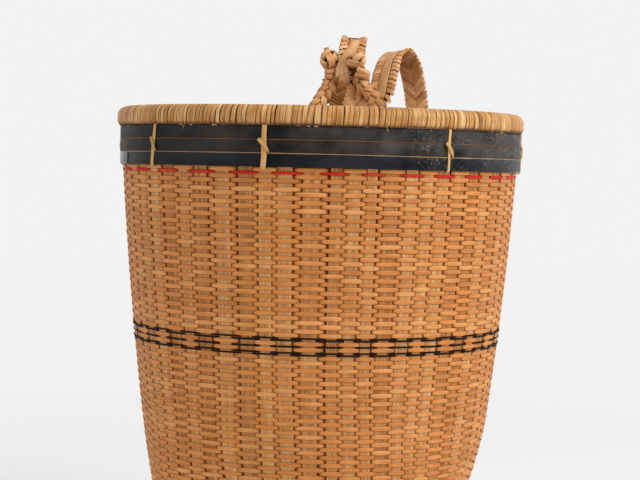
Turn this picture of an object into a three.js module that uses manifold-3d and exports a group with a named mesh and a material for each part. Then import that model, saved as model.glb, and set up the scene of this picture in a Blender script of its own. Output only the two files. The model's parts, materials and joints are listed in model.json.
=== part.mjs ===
// A plaited cane back basket with a round mouth, a square base and two carrying straps.
// Millimetres, +Z up. The origin is the middle of the underside; the straps are at the back, +Y.
import * as THREE from "three";
import { mergeVertices } from "three/addons/utils/BufferGeometryUtils.js";
import Module from "manifold-3d";

const wasm = await Module();
wasm.setup();

// Fits
const GAP = 0.3; // between pieces that touch
const THREADING = 0.45; // round a strand that passes through the wall

// Basket body
const RIM_DIAMETER = 400; // across the wrapped rim
const HEIGHT = 455; // floor to rim top
const BASE_ACROSS = 256; // flat side to flat side
const BASE_CORNERS = 296; // corner to corner
const SQUARE_BELOW = 160; // height under which the wall turns square
const BELLY = 0.45; // outward curve of the wall's taper
const WALL_THICK = 4; // stakes and wefts together
const MAT_THICK = 4; // plaited base

// Rim
const RIM_HEIGHT = 18.3;
const WRAP_THICK = 1.1; // the cane wound over the rim
const RIM_HOOP_THICK = 3.3;
const RIM_SHOULDER = 5.6; // height of the rim's rounded shoulder
const RIM_CAP = 1.5; // rim top above the wall's top edge

// Black hoops under the rim, and the band that they clamp the wall to
const HOOP_COUNT = 3;
const HOOP_HEIGHT = 12;
const HOOP_THICK = 2.2;
const HOOP_PITCH = 12.4;
const INNER_BAND_THICK = 2.6;
const INNER_BAND_INSET = 2.8; // how far it stays inside the hoops' height at each edge

// Cane lashings over the hoops
const LASHING_BEARINGS = [-37, -0.7, 50.4, 98, 143, 205, 243, 281]; // degrees from the front
const LASHING_WIDTH = 3.8;
const LASHING_THICK = 1.2;
const HITCH_LENGTH = 13;
const HITCH_SLOPE = 40; // degrees from upright

// Coloured wefts
const WEFT_PITCH = 3.8;
const WEFT_FACE = 0.9; // how far a coloured weft stands out
const RED_HEIGHT = 2.6;
const THIN_WEFT = 1.8;
const STRIPE_TOP = 153; // below the lowest hoop
const STRIPE = ["black", "black", "cane", "black", "cane", "black", "black"];

// Foot
const FOOT_HEIGHT = 12;
const FOOT_DEPTH = 10; // how far it stands out from the wall
const FOOT_CHAMFER = 2;

// Straps, with the left one on the wearer's left, -X
const PLAIT_WIDTH = 29;
const PLAIT_THICK = 5;
const STRIP_WIDTH = 10;
const STRIP_THICK = 0.8;
const BRAID_RADIUS = 5.5;
const BRAID_LAP = 4; // how far the flat knot's braid starts in over the leaf's edge
const COLLAR_RADIUS = 7.4;
const COLLAR_HEIGHT = 10.5;
const KNOB_RADIUS = 10;
const KNOB_HEIGHT = 22;
const FLAT_KNOT = [11, 6.5, 9]; // half width, half depth, half height
const KNOT_INSET = 12; // the flat knot's middle, in from its collar's
const TAIL_RADIUS = 4.5;
const TAIL_KNOT_RADIUS = 8;
const TAIL_KNOT_HEIGHT = 15;
const EYE_CANE_RADIUS = 2.2;
const EYE_PLAY = 0.9; // between the tail and its eye
const EYE_STANDOFF = 14; // eye centre to the wall
const EYE_HEIGHT = 100; // above the floor
// The tail's path from the eye up to the plait: [out from the hinge line, up from the eye].
const TAIL_PATH = [[0, -3.7], [0, 24], [8, 54], [21, 84], [29, 104]];

// The side of a strap's plait that its knots sit on: -1 faces the basket, +1 faces away.
// Bow points are [out from the hinge line, share of the hinge line's length].
// Braid points are [from the leaf's edge to the braid's side, out from the rim's face, up from the
// strap's top end].
const STRAPS = {
  left: {
    side: -1,
    knotsFace: -1,
    topBearing: 184.2,
    topStandoff: 14,
    topRise: 76,
    eyeBearing: 202,
    splay: 20,
    archDepth: 62,
    archRise: 15,
    bow: [[65, 0.88], [72, 0.74], [74, 0.6], [68, 0.47], [54, 0.365]],
    leaf: [[14, 8], [12.5, -20], [9, -48], [6.6, -73], [6.2, -110], [4.6, -137], [-3, -151], [-17, -160]],
    knobBraid: [[11, 11, -54], [21, 7.6, -74], [22, 7.4, -110], [21, 5.5, -138], [20, -5, -152],
      [19, -19, -160]],
    flatBraid: [[4, 7.6, -54], [10, 7.4, -74], [10, 7.4, -110], [8, 5.5, -138], [7, -5, -152],
      [6, -19, -160]],
  },
  right: {
    side: 1,
    knotsFace: 1,
    topBearing: 176.7,
    topStandoff: 28,
    topRise: 8,
    eyeBearing: 158,
    splay: -14,
    archDepth: 94,
    archRise: 76,
    bow: [[95, 0.86], [93, 0.74], [86, 0.62], [74, 0.51], [56, 0.41]],
    leaf: [[28, 8], [27.4, -8], [26.8, -22], [26.4, -38]],
    knobBraid: [[5, 25, -56], [4, 15, -84], [2, 5, -102], [1, -6, -111], [0, -19, -117]],
    flatBraid: [[-7.5, 34, -56], [-9, 23, -82], [-10, 9, -101], [-11, -5, -111], [-12, -19, -117]],
  },
};

// Mesh fineness
const ROUND = 48; // corners round the basket
const WALL_RINGS = 12;
const BOW_STEPS = 44;
const BRAID_STEPS = 22;

// Derived sizes
const rimRadius = RIM_DIAMETER / 2;
const wallRadius = rimRadius - WRAP_THICK - RIM_HOOP_THICK - 2 * GAP;
const rimBottom = HEIGHT - RIM_HEIGHT;
const bandBottom = rimBottom - GAP - (HOOP_COUNT - 1) * HOOP_PITCH - HOOP_HEIGHT;
const hoopRadius = wallRadius + GAP + HOOP_THICK;
const wallFoot = MAT_THICK + GAP;
const basePower = 1 / (0.5 - Math.log2(BASE_CORNERS / BASE_ACROSS));
const flatCut = 1 - BASE_ACROSS / BASE_CORNERS;
const radians = THREE.MathUtils.degToRad;

const finish = (color, roughness) => new THREE.MeshStandardMaterial({ color, roughness, metalness: 0 });
const FINISHES = {
  cane: () => finish(0xcd874b, 0.6),
  paleCane: () => finish(0xc9a268, 0.55),
  blackLacquer: () => finish(0x2d3034, 0.3),
  red: () => finish(0xdc3c28, 0.6),
  black: () => finish(0x241a14, 0.6),
};

const basket = new THREE.Group();

function addMesh(name, geometry, finishName, parent = basket) {
  const mesh = new THREE.Mesh(geometry, FINISHES[finishName]());
  mesh.name = name;
  parent.add(mesh);
  return mesh;
}

// Joining and cutting

function solidOf(geometry) {
  const bare = geometry.clone();
  bare.deleteAttribute("normal");
  bare.deleteAttribute("uv");
  const merged = mergeVertices(bare, 1e-3);
  return new wasm.Manifold(
    new wasm.Mesh({
      numProp: 3,
      vertProperties: new Float32Array(merged.attributes.position.array),
      triVerts: new Uint32Array(merged.index.array),
    }),
  );
}

function geometryOf(solid) {
  const mesh = solid.getMesh();
  const geometry = new THREE.BufferGeometry();
  geometry.setAttribute("position", new THREE.BufferAttribute(mesh.vertProperties, 3));
  geometry.setIndex(new THREE.BufferAttribute(mesh.triVerts, 1));
  geometry.computeVertexNormals();
  return geometry;
}

const cut = (geometry, tools) =>
  geometryOf(tools.reduce((solid, tool) => solid.subtract(solidOf(tool)), solidOf(geometry)));

const fuse = ([first, ...rest]) =>
  geometryOf(rest.reduce((solid, piece) => solid.add(solidOf(piece)), solidOf(first)));

// The wall's outline: a circle above, and below it a curve |x|^p + |y|^p = half^p that turns square.

function sectionAt(z) {
  const up = THREE.MathUtils.clamp(z / bandBottom, 0, 1);
  const baseRadius = BASE_CORNERS / 2;
  const radius = baseRadius + (wallRadius - baseRadius) * (up + BELLY * up * (1 - up));
  const square = 1 - THREE.MathUtils.smoothstep(z, 0, SQUARE_BELOW);
  return { half: radius * (1 - flatCut * square), power: 2 + (basePower - 2) * square };
}

function outlineRadius(z, bearing) {
  const { half, power } = sectionAt(z);
  const across = Math.abs(Math.sin(bearing)) ** power;
  const along = Math.abs(Math.cos(bearing)) ** power;
  return half / (across + along) ** (1 / power);
}

// The direction of a bearing: 0 is the front, -Y, and a quarter turn is +X.
const towards = (bearing) => new THREE.Vector3(Math.sin(bearing), -Math.cos(bearing), 0);

// A closed band round the basket. Its profile is [out from the wall's outer face, height] and runs
// up the outside and down the inside.
function bandRound(profile) {
  const positions = [];
  const triangles = [];
  const rows = profile.length;
  for (let corner = 0; corner < ROUND; corner++) {
    const bearing = (corner / ROUND) * 2 * Math.PI;
    for (const [out, z] of profile) {
      const point = towards(bearing).multiplyScalar(outlineRadius(z, bearing) + out);
      positions.push(point.x, point.y, z);
    }
    const next = (corner + 1) % ROUND;
    for (let row = 0; row < rows; row++) {
      const above = (row + 1) % rows;
      const a = corner * rows + row;
      const b = next * rows + row;
      const c = next * rows + above;
      const d = corner * rows + above;
      triangles.push(a, b, c, a, c, d);
    }
  }
  const geometry = new THREE.BufferGeometry();
  geometry.setAttribute("position", new THREE.Float32BufferAttribute(positions, 3));
  geometry.setIndex(triangles);
  geometry.computeVertexNormals();
  return geometry;
}

const flatBand = (inner, outer, bottom, top) =>
  bandRound([[outer, bottom], [outer, top], [inner, top], [inner, bottom]]);

function bar(x0, x1, y0, y1, z0, z1) {
  const box = new THREE.BoxGeometry(x1 - x0, y1 - y0, z1 - z0);
  return box.translate((x0 + x1) / 2, (y0 + y1) / 2, (z0 + z1) / 2);
}

// A round strand along points, as one tube.
function strand(points, radius, steps, sides = 8) {
  const corners = Array.from({ length: sides }, (_, k) => {
    const turn = (k / sides) * 2 * Math.PI;
    return new THREE.Vector2(radius * Math.cos(turn), radius * Math.sin(turn));
  });
  return new THREE.ExtrudeGeometry(new THREE.Shape(corners), {
    extrudePath: new THREE.CatmullRomCurve3(points),
    steps,
    bevelEnabled: false,
  });
}

// A flat strap whose path [out, up] lies in the YZ plane: its edge view, drawn from the path's
// offsets low and high of it, carried across its width. It covers the path up to its last step.
function ribbon(path, steps, width, low, high, last = steps) {
  const curve = new THREE.CatmullRomCurve3(path.map(([out, up]) => new THREE.Vector3(0, out, up)));
  const near = [];
  const far = [];
  for (let step = 0; step <= last; step++) {
    const point = curve.getPointAt(step / steps);
    const way = curve.getTangentAt(step / steps);
    near.push(new THREE.Vector2(point.y + way.z * low, point.z - way.y * low));
    far.push(new THREE.Vector2(point.y + way.z * high, point.z - way.y * high));
  }
  const edge = new THREE.Shape([...near, ...far.reverse()]);
  const geometry = new THREE.ExtrudeGeometry(edge, { depth: width, bevelEnabled: false });
  const stand = new THREE.Matrix4().set(0, 0, 1, -width / 2, 1, 0, 0, 0, 0, 1, 0, 0, 0, 0, 0, 1);
  return geometry.applyMatrix4(stand);
}

// A turned form about +Z from its profile [radius, height].
const turned = (profile, corners = 12) =>
  new THREE.LatheGeometry(profile.map(([r, z]) => new THREE.Vector2(r, z)), corners).rotateX(Math.PI / 2);

// Rim, hoops and bands

function addRim() {
  const outer = GAP + RIM_HOOP_THICK;
  const inner = -WALL_THICK - GAP - RIM_HOOP_THICK;
  const faceOut = outer + GAP + WRAP_THICK;
  const faceIn = inner - GAP - WRAP_THICK;
  const round = RIM_SHOULDER * 0.3;
  const cap = HEIGHT - RIM_CAP + GAP;
  const tuck = WRAP_THICK * 2;
  addMesh(
    "rim_wrap",
    bandRound([
      [outer + GAP, rimBottom],
      [faceOut, rimBottom + tuck],
      [faceOut, HEIGHT - RIM_SHOULDER],
      [faceOut - round, HEIGHT - round],
      [faceOut - RIM_SHOULDER, HEIGHT],
      [faceIn + RIM_SHOULDER, HEIGHT],
      [faceIn + round, HEIGHT - round],
      [faceIn, HEIGHT - RIM_SHOULDER],
      [faceIn, rimBottom + tuck],
      [inner - GAP, rimBottom],
      [inner - GAP, HEIGHT - RIM_SHOULDER],
      [-WALL_THICK - GAP, cap],
      [GAP, cap],
      [outer + GAP, HEIGHT - RIM_SHOULDER],
    ]),
    "paleCane",
  );
  const top = HEIGHT - RIM_SHOULDER - 2 * GAP;
  addMesh("rim_hoop_outer", flatBand(GAP, outer, rimBottom + GAP, top), "cane");
  addMesh("rim_hoop_inner", flatBand(inner, -WALL_THICK - GAP, rimBottom + GAP, top), "cane");
}

function addBlackHoops() {
  const names = ["lower", "middle", "upper"];
  for (let k = 0; k < HOOP_COUNT; k++) {
    const bottom = bandBottom + k * HOOP_PITCH;
    const hoop = flatBand(GAP, GAP + HOOP_THICK, bottom, bottom + HOOP_HEIGHT);
    addMesh("black_hoop_" + names[k], hoop, "blackLacquer");
  }
  const face = -WALL_THICK - GAP;
  addMesh(
    "inner_band",
    flatBand(face - INNER_BAND_THICK, face, bandBottom + INNER_BAND_INSET, rimBottom - INNER_BAND_INSET),
    "cane",
  );
}

// A lashing is a cane strip down the hoops' face, through the wall below them and up the inner band,
// with its own end hitched slantwise across the middle hoop. It is made at the front.
const lashing = (() => {
  const face = hoopRadius + GAP;
  const flat = (radius) => radius * Math.cos(Math.PI / ROUND);
  const inside = flat(wallRadius - WALL_THICK - GAP - INNER_BAND_THICK) - GAP;
  const half = LASHING_WIDTH / 2;
  const top = rimBottom - GAP;
  const foot = bandBottom - GAP - LASHING_THICK;
  const hitch = bar(-HITCH_LENGTH / 2, HITCH_LENGTH / 2, -LASHING_THICK, 0, -half * 0.7, half * 0.7);
  hitch.rotateY(radians(90 - HITCH_SLOPE));
  hitch.translate(0, -face - LASHING_THICK * 0.7, bandBottom + HOOP_PITCH + HOOP_HEIGHT / 2);
  return {
    strip: () =>
      fuse([
        bar(-half, half, -face - LASHING_THICK, -face, foot, top),
        bar(-half, half, -face - LASHING_THICK, -inside + LASHING_THICK, foot, foot + LASHING_THICK),
        bar(-half, half, -inside, -inside + LASHING_THICK, foot, top),
        hitch,
      ]),
    slot: () =>
      bar(
        -half - THREADING,
        half + THREADING,
        -face - LASHING_THICK,
        -inside + LASHING_THICK,
        foot - THREADING,
        foot + LASHING_THICK + THREADING,
      ),
  };
})();

function addLashings() {
  LASHING_BEARINGS.forEach((bearing, k) => {
    addMesh("lashing_" + (k + 1), lashing.strip(), "paleCane").rotation.z = radians(bearing);
  });
}

function addColouredWefts() {
  const redTop = bandBottom - WEFT_PITCH - GAP;
  addMesh("weft_red", flatBand(GAP, GAP + WEFT_FACE, redTop - RED_HEIGHT, redTop), "red");
  let top = bandBottom - STRIPE_TOP;
  let count = 0;
  for (const kind of STRIPE) {
    const bottom = top - (kind === "black" ? THIN_WEFT : WEFT_PITCH);
    if (kind === "black") {
      count += 1;
      addMesh("weft_black_" + count, flatBand(GAP, GAP + WEFT_FACE, bottom + GAP, top), "black");
    }
    top = bottom;
  }
}

// Base and foot

function addBase() {
  const outline = Array.from({ length: ROUND }, (_, k) => {
    const bearing = (k / ROUND) * 2 * Math.PI;
    const point = towards(bearing).multiplyScalar(outlineRadius(0, bearing));
    return new THREE.Vector2(point.x, point.y);
  });
  const mat = new THREE.ExtrudeGeometry(new THREE.Shape(outline), { depth: MAT_THICK, bevelEnabled: false });
  addMesh("base_mat", mat, "cane");

  const inner = GAP + 0.1;
  const outer = inner + FOOT_DEPTH;
  const skin = WRAP_THICK;
  const shell = (depth) => [
    [inner, depth],
    [outer - depth - FOOT_CHAMFER, depth],
    [outer - depth, depth + FOOT_CHAMFER],
    [outer - depth, FOOT_HEIGHT - depth - FOOT_CHAMFER],
    [outer - depth - FOOT_CHAMFER, FOOT_HEIGHT - depth],
    [inner, FOOT_HEIGHT - depth],
  ];
  addMesh("foot_wrap", bandRound([...shell(0), ...shell(skin).reverse()]), "paleCane");
  addMesh("foot_hoop", bandRound(shell(skin + GAP)), "cane");
}

// Straps

// Where a strap hangs: its top end over the rim, its eye on the wall, and the line between them.
function strapPlaces(strap) {
  const topBearing = radians(strap.topBearing);
  const eyeBearing = radians(strap.eyeBearing);
  const top = towards(topBearing).multiplyScalar(rimRadius + strap.topStandoff);
  top.z = HEIGHT + strap.topRise;
  const wall = towards(eyeBearing).multiplyScalar(outlineRadius(EYE_HEIGHT, eyeBearing));
  const slope = sectionAt(EYE_HEIGHT).power - 1;
  const outward = new THREE.Vector3(
    Math.sign(wall.x) * Math.abs(wall.x) ** slope,
    Math.sign(wall.y) * Math.abs(wall.y) ** slope,
    0,
  ).normalize();
  const eye = wall.clone().addScaledVector(outward, EYE_STANDOFF);
  eye.z = EYE_HEIGHT;
  const line = top.clone().sub(eye);
  const length = line.length();
  line.normalize();
  const sideways = new THREE.Vector3(0, 1, 0).cross(line).normalize();
  const away = line.clone().cross(sideways);
  const hinge = new THREE.Matrix4().makeBasis(sideways, away, line).setPosition(eye);
  const hanger = new THREE.Matrix4().makeRotationZ(topBearing - Math.PI).setPosition(top);
  return { top, eye, outward, length, hinge, hanger, flatDepth: EYE_STANDOFF + WALL_THICK };
}

// A braid point in the hanger's own frame, on the side of the leaf that toSide gives. Its standoff is
// counted from the rim's round face.
function hangerPoint(strap, toSide, [fromEdge, standoff, z]) {
  const x = toSide * (PLAIT_WIDTH / 2 + fromEdge + BRAID_RADIUS);
  const face = Math.sqrt(rimRadius ** 2 - x ** 2) - rimRadius;
  return new THREE.Vector3(x, face + standoff - strap.topStandoff, z);
}

function leafPath(strap) {
  return strap.leaf.map(([standoff, z]) => [standoff - strap.topStandoff, z]);
}

// How far out the leaf lies at a height of the hanger's frame, between its two nearest points.
function leafOut(strap, z) {
  const path = leafPath(strap);
  const after = path.findIndex((point) => point[1] < z);
  const [out0, z0] = path[after - 1];
  const [out1, z1] = path[after];
  return THREE.MathUtils.mapLinear(z, z0, z1, out0, out1);
}

// Everything of a hanger, in its own frame: the leaf of the plait, two knots with their collars and
// the two braids that go into the wall under the hoops.
function hangerPieces(strap) {
  const knobX = strap.side * (PLAIT_WIDTH / 2 + GAP + KNOB_RADIUS);
  const knobTop = -2;
  const knobFoot = knobTop - KNOB_HEIGHT;
  const [knotX, knotY, knotZ] = FLAT_KNOT;
  const collarX = -strap.side * (PLAIT_WIDTH / 2 + BRAID_RADIUS - BRAID_LAP);
  const flatX = collarX + strap.side * KNOT_INSET;
  const flatMiddle = knobTop - 3 - knotZ;
  const flatFoot = flatMiddle - knotZ;
  const onLeaf = (z) => leafOut(strap, z) + strap.knotsFace * (PLAIT_THICK / 2 + 2 * GAP);
  const flatY = onLeaf(flatMiddle) + strap.knotsFace * knotY;
  const collarY = onLeaf(flatFoot - COLLAR_HEIGHT) + strap.knotsFace * (COLLAR_RADIUS + GAP);
  const collar = turned([
    [0, 0],
    [COLLAR_RADIUS - 1.5, 0],
    [COLLAR_RADIUS, COLLAR_HEIGHT / 2],
    [COLLAR_RADIUS - 1.5, COLLAR_HEIGHT],
    [0, COLLAR_HEIGHT],
  ]);
  const knob = turned([
    [0, 0],
    [0.6 * KNOB_RADIUS, 0],
    [0.93 * KNOB_RADIUS, 0.25 * KNOB_HEIGHT],
    [KNOB_RADIUS, 0.5 * KNOB_HEIGHT],
    [0.8 * KNOB_RADIUS, 0.82 * KNOB_HEIGHT],
    [0, KNOB_HEIGHT],
  ]);
  const knobCollarFoot = knobFoot - GAP - COLLAR_HEIGHT;
  const flatCollarFoot = flatFoot - GAP - COLLAR_HEIGHT;
  const braid = (x, y, z, toSide, points) => [
    new THREE.Vector3(x, y, z),
    new THREE.Vector3(x, y, z - BRAID_RADIUS),
    ...points.map((point) => hangerPoint(strap, toSide, point)),
  ];
  return {
    knob: knob.translate(knobX, 0, knobFoot),
    flat_knot: new THREE.SphereGeometry(1, 14, 10)
      .scale(knotX, knotY, knotZ)
      .translate(flatX, flatY, flatMiddle),
    knob_collar: collar.clone().translate(knobX, 0, knobCollarFoot),
    flat_collar: collar.clone().translate(collarX, collarY, flatCollarFoot),
    knobBraid: braid(knobX, 0, knobCollarFoot - 2 * GAP, strap.side, strap.knobBraid),
    flatBraid: braid(collarX, collarY, flatCollarFoot - 2 * GAP, -strap.side, strap.flatBraid),
  };
}

const leafRibbon = (strap, spare) =>
  ribbon(leafPath(strap), 16, PLAIT_WIDTH + 2 * spare, -PLAIT_THICK / 2 - spare, PLAIT_THICK / 2 + spare);

// The upright room over a strap's top end, which its leaf stops short of.
function swingRoom(places) {
  const room = bar(-60, 60, -60, 60, places.length - GAP, places.length + 60).applyMatrix4(places.hinge);
  return room.applyMatrix4(places.hanger.clone().invert());
}

function addHanger(name, strap) {
  const places = strapPlaces(strap);
  const hanger = new THREE.Group();
  hanger.applyMatrix4(places.hanger);
  basket.add(hanger);
  const pieces = hangerPieces(strap);
  addMesh(name + "_leaf", cut(leafRibbon(strap, 0), [swingRoom(places)]), "cane", hanger);
  for (const piece of ["knob", "flat_knot", "knob_collar", "flat_collar"])
    addMesh(name + "_" + piece, pieces[piece], "cane", hanger);
  addMesh(name + "_knob_braid", strand(pieces.knobBraid, BRAID_RADIUS, BRAID_STEPS), "cane", hanger);
  addMesh(name + "_flat_braid", strand(pieces.flatBraid, BRAID_RADIUS, BRAID_STEPS), "cane", hanger);
  addMesh(name + "_eye", eye(places, 0), "cane");
}

// The staple of cane whose bend holds the strap's tail and whose two legs go through the wall.
function eye(places, spare) {
  const bend = TAIL_RADIUS + EYE_PLAY + EYE_CANE_RADIUS;
  const along = new THREE.Vector3(-places.outward.y, places.outward.x, 0);
  const at = (across, out) =>
    places.eye.clone().addScaledVector(along, across).addScaledVector(places.outward, out);
  const deep = -places.flatDepth - 3 * EYE_CANE_RADIUS;
  const points = [at(-bend, deep), at(-bend, deep / 2), at(-bend, -1)];
  for (let step = 1; step < 6; step++) {
    const turn = (step / 6) * Math.PI;
    points.push(at(-bend * Math.cos(turn), bend * Math.sin(turn)));
  }
  points.push(at(bend, -1), at(bend, deep / 2), at(bend, deep));
  return strand(points, EYE_CANE_RADIUS + spare, 20);
}

// The holes that a strap's pieces need in the wall.
function wallHoles(strap) {
  const places = strapPlaces(strap);
  const pieces = hangerPieces(strap);
  const threaded = [
    leafRibbon(strap, THREADING),
    strand(pieces.knobBraid, BRAID_RADIUS + THREADING, BRAID_STEPS),
    strand(pieces.flatBraid, BRAID_RADIUS + THREADING, BRAID_STEPS),
  ];
  return [...threaded.map((tool) => tool.applyMatrix4(places.hanger)), eye(places, THREADING)];
}

// The strap that swings: its path runs from the top end over the arch and down the bow to the tail.
function addStrap(name, strap) {
  const { length, hinge } = strapPlaces(strap);
  const swing = new THREE.Group();
  swing.applyMatrix4(hinge);
  basket.add(swing);
  const lean = new THREE.Group();
  lean.rotation.z = radians(strap.splay);
  swing.add(lean);

  const arch = [[0, length - PLAIT_THICK]];
  const middle = strap.archDepth / 2;
  for (let step = 0; step <= 6; step++) {
    const turn = (step / 6) * Math.PI;
    arch.push([middle - middle * Math.cos(turn), length + strap.archRise * Math.sin(turn)]);
  }
  const tailTop = TAIL_PATH.at(-1);
  const onward = [2 * tailTop[0] - TAIL_PATH.at(-2)[0], 2 * tailTop[1] - TAIL_PATH.at(-2)[1]];
  const path = [...arch, ...strap.bow.map(([out, share]) => [out, share * length]), onward, tailTop];
  const belowTop = bar(-middle, middle, -middle / 2, middle / 2, length - 2 * middle, length);
  const piece = (width, low, high, last) => cut(ribbon(path, BOW_STEPS, width, low, high, last), [belowTop]);
  const face = -PLAIT_THICK / 2;
  addMesh(name + "_strap_plait", piece(PLAIT_WIDTH, face, -face, BOW_STEPS), "cane", lean);
  const strip = piece(STRIP_WIDTH, face - GAP - STRIP_THICK, face - GAP, BOW_STEPS - 2);
  addMesh(name + "_strap_strip", strip, "paleCane", lean);
  const tail = TAIL_PATH.slice(0, -1).map(([out, up]) => new THREE.Vector3(0, out, up));
  const short = 1 - GAP / Math.hypot(tailTop[0] - TAIL_PATH.at(-2)[0], tailTop[1] - TAIL_PATH.at(-2)[1]);
  tail.push(tail.at(-1).clone().lerp(new THREE.Vector3(0, ...tailTop), short));
  addMesh(name + "_tail", strand(tail, TAIL_RADIUS, 14), "cane", lean);
  const knot = turned([
    [0, 0],
    [0.7 * TAIL_KNOT_RADIUS, 0.12 * TAIL_KNOT_HEIGHT],
    [TAIL_KNOT_RADIUS, 0.45 * TAIL_KNOT_HEIGHT],
    [0.8 * TAIL_KNOT_RADIUS, 0.88 * TAIL_KNOT_HEIGHT],
    [0.5 * TAIL_KNOT_RADIUS, TAIL_KNOT_HEIGHT],
    [0, TAIL_KNOT_HEIGHT],
  ]);
  addMesh(name + "_tail_knot", knot.translate(0, 0, -4 - TAIL_KNOT_HEIGHT), "cane", lean);
}

// The woven wall, open at the top, with the slots and holes that strands pass through.
function addWall() {
  const top = HEIGHT - RIM_CAP;
  const heights = Array.from(
    { length: WALL_RINGS },
    (_, k) => wallFoot + (bandBottom - wallFoot) * (k / (WALL_RINGS - 1)) ** 1.3,
  );
  heights.push(top);
  const outside = heights.map((z) => [0, z]);
  const inside = heights.map((z) => [-WALL_THICK, z]).reverse();
  const slots = LASHING_BEARINGS.map((bearing) => lashing.slot().rotateZ(radians(bearing)));
  const holes = Object.values(STRAPS).flatMap(wallHoles);
  addMesh("body_weave", cut(bandRound([...outside, ...inside]), [...slots, ...holes]), "cane");
}

addWall();
addBase();
addRim();
addBlackHoops();
addLashings();
addColouredWefts();
for (const [name, strap] of Object.entries(STRAPS)) {
  addHanger(name, strap);
  addStrap(name, strap);
}

export default basket;
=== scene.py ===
# A plaited cane back basket: woven wall on upright stakes, wound rim, black hoops and two carrying straps.
import json
import math
from functools import cached_property

import bpy
import numpy as np
from mathutils import Euler, Matrix, Vector


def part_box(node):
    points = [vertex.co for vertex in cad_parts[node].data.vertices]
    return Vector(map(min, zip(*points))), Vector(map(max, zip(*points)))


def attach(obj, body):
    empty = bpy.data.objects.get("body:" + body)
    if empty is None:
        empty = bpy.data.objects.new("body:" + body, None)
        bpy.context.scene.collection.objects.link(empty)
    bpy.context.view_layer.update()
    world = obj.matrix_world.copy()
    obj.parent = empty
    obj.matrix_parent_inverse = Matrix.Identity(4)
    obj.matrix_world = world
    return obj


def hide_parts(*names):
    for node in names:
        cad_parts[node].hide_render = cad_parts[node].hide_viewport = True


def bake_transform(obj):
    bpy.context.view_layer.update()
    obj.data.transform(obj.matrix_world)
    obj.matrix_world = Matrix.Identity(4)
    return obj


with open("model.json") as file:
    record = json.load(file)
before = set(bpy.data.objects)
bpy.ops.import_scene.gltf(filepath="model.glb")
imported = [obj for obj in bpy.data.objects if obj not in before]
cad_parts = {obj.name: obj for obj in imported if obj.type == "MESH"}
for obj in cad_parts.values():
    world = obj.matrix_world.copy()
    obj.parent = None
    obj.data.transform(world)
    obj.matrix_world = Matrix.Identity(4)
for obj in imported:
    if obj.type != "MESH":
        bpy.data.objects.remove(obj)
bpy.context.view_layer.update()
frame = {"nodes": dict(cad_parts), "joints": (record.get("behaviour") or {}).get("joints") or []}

# Sizes are in millimetres, and meshes are written in metres.
MM = 0.001
UP = np.array([0, 0, 1.0])


def node_box(name):
    """The lowest and highest corners of a piece of the frame, in millimetres."""
    low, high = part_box(name)
    return np.array(low) / MM, np.array(high) / MM


# Sizes that the frame gives
RIM_LOW, RIM_HIGH = node_box("rim_wrap")
RIM_RADIUS, RIM_BOTTOM, HEIGHT = RIM_HIGH[0], RIM_LOW[2], RIM_HIGH[2]
BAND_BOTTOM = node_box("black_hoop_lower")[0][2]
HOOP_RADIUS = node_box("black_hoop_lower")[1][0]
BASE_HALF, _, MAT_TOP = node_box("base_mat")[1]
FOOT_OUT, _, FOOT_TOP = node_box("foot_wrap")[1]
INNER_BAND = node_box("inner_band")

# The wall's outline
GAP = 0.3  # between pieces that don't touch
HOOP_THICK, BAND_THICK = 2.2, 2.6
WALL_RADIUS = HOOP_RADIUS - GAP - HOOP_THICK
BASE_CORNER = 148  # the base's half width from corner to corner
SQUARE_BELOW = 160  # the height at which the wall starts to turn square
BELLY = 0.45  # how full the wall's side is, past a straight taper
FLAT_CUT = 1 - BASE_HALF / BASE_CORNER
BASE_POWER = 1 / (0.5 - np.log2(BASE_CORNER / BASE_HALF))

# The weave
STAKES_A_SIDE = 15
STAKES = 4 * STAKES_A_SIDE
STAKE_THICK = 1.3
WEFT_PITCH = 3.8
WEFT_THICK = 1.0
WEFT_BOW = 1.25  # how far a weft's middle swings out and in from the stakes' middle
WALL_MIDDLE = -2.0  # middle of the stakes, from the wall's outer face
RED_ROW = 2.2
THIN_ROW = 1.85
STAKE_WIDTH = 14.1
# Where the red row's dashes stand at the mouth, in degrees: on every second stake, from this one on
FIRST_DASH = -9
DASH_BEARINGS = (-58.5, -45.8, -32.2, -20.1, -6.2, 4.7, 18.7, 28.3, 39.9, 49.9, 61.8, 73.5)
STRIPE_TOP = 153  # how far the stripe lies below the lowest hoop
STRIPE = "black black cane black cane black black".split()

# Meshes


def squared_turn(turn, roundness):
    """The cosine and sine of a turn, each to a power with its sign kept: the lower the power, the
    squarer the way round."""
    c, s = np.cos(turn), np.sin(turn)
    return np.sign(c) * np.abs(c) ** roundness, np.sign(s) * np.abs(s) ** roundness


def band_section(width, thick, corners, roundness=0.62):
    """A flat strip's section, a rounded lens: its corners lie at equal turns t, at half the width times
    |cos t| to a power across and half the thickness times |sin t| to that power in depth."""
    across, depth = squared_turn((np.arange(corners) + 0.5) / corners * 2 * np.pi, roundness)
    width, thick = np.asarray(width, float)[..., None], np.asarray(thick, float)[..., None]
    return np.stack(np.broadcast_arrays(across * width / 2, depth * thick / 2), -1)


def unit(vectors):
    """Each vector divided by its own length."""
    return vectors / np.linalg.norm(vectors, axis=-1, keepdims=True)


def round_axis(bearing, radius, z):
    """The point at a bearing and a distance from the basket's axis, and at a height. Bearing 0 is the
    front, -Y, and it grows towards +X."""
    return np.stack(np.broadcast_arrays(radius * np.sin(bearing), -radius * np.cos(bearing), z), -1)


def outward(bearing):
    """The level direction away from the basket's axis."""
    return round_axis(bearing, 1.0, 0.0)


def onward(bearing):
    """The level direction in which the bearing grows."""
    return np.stack([np.cos(bearing), np.sin(bearing), np.zeros_like(bearing)], -1)


def travelled(points):
    """How far each point of a line lies along it, from its start."""
    return np.concatenate([[0], np.cumsum(np.linalg.norm(np.diff(points, axis=0), axis=1))])


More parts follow.
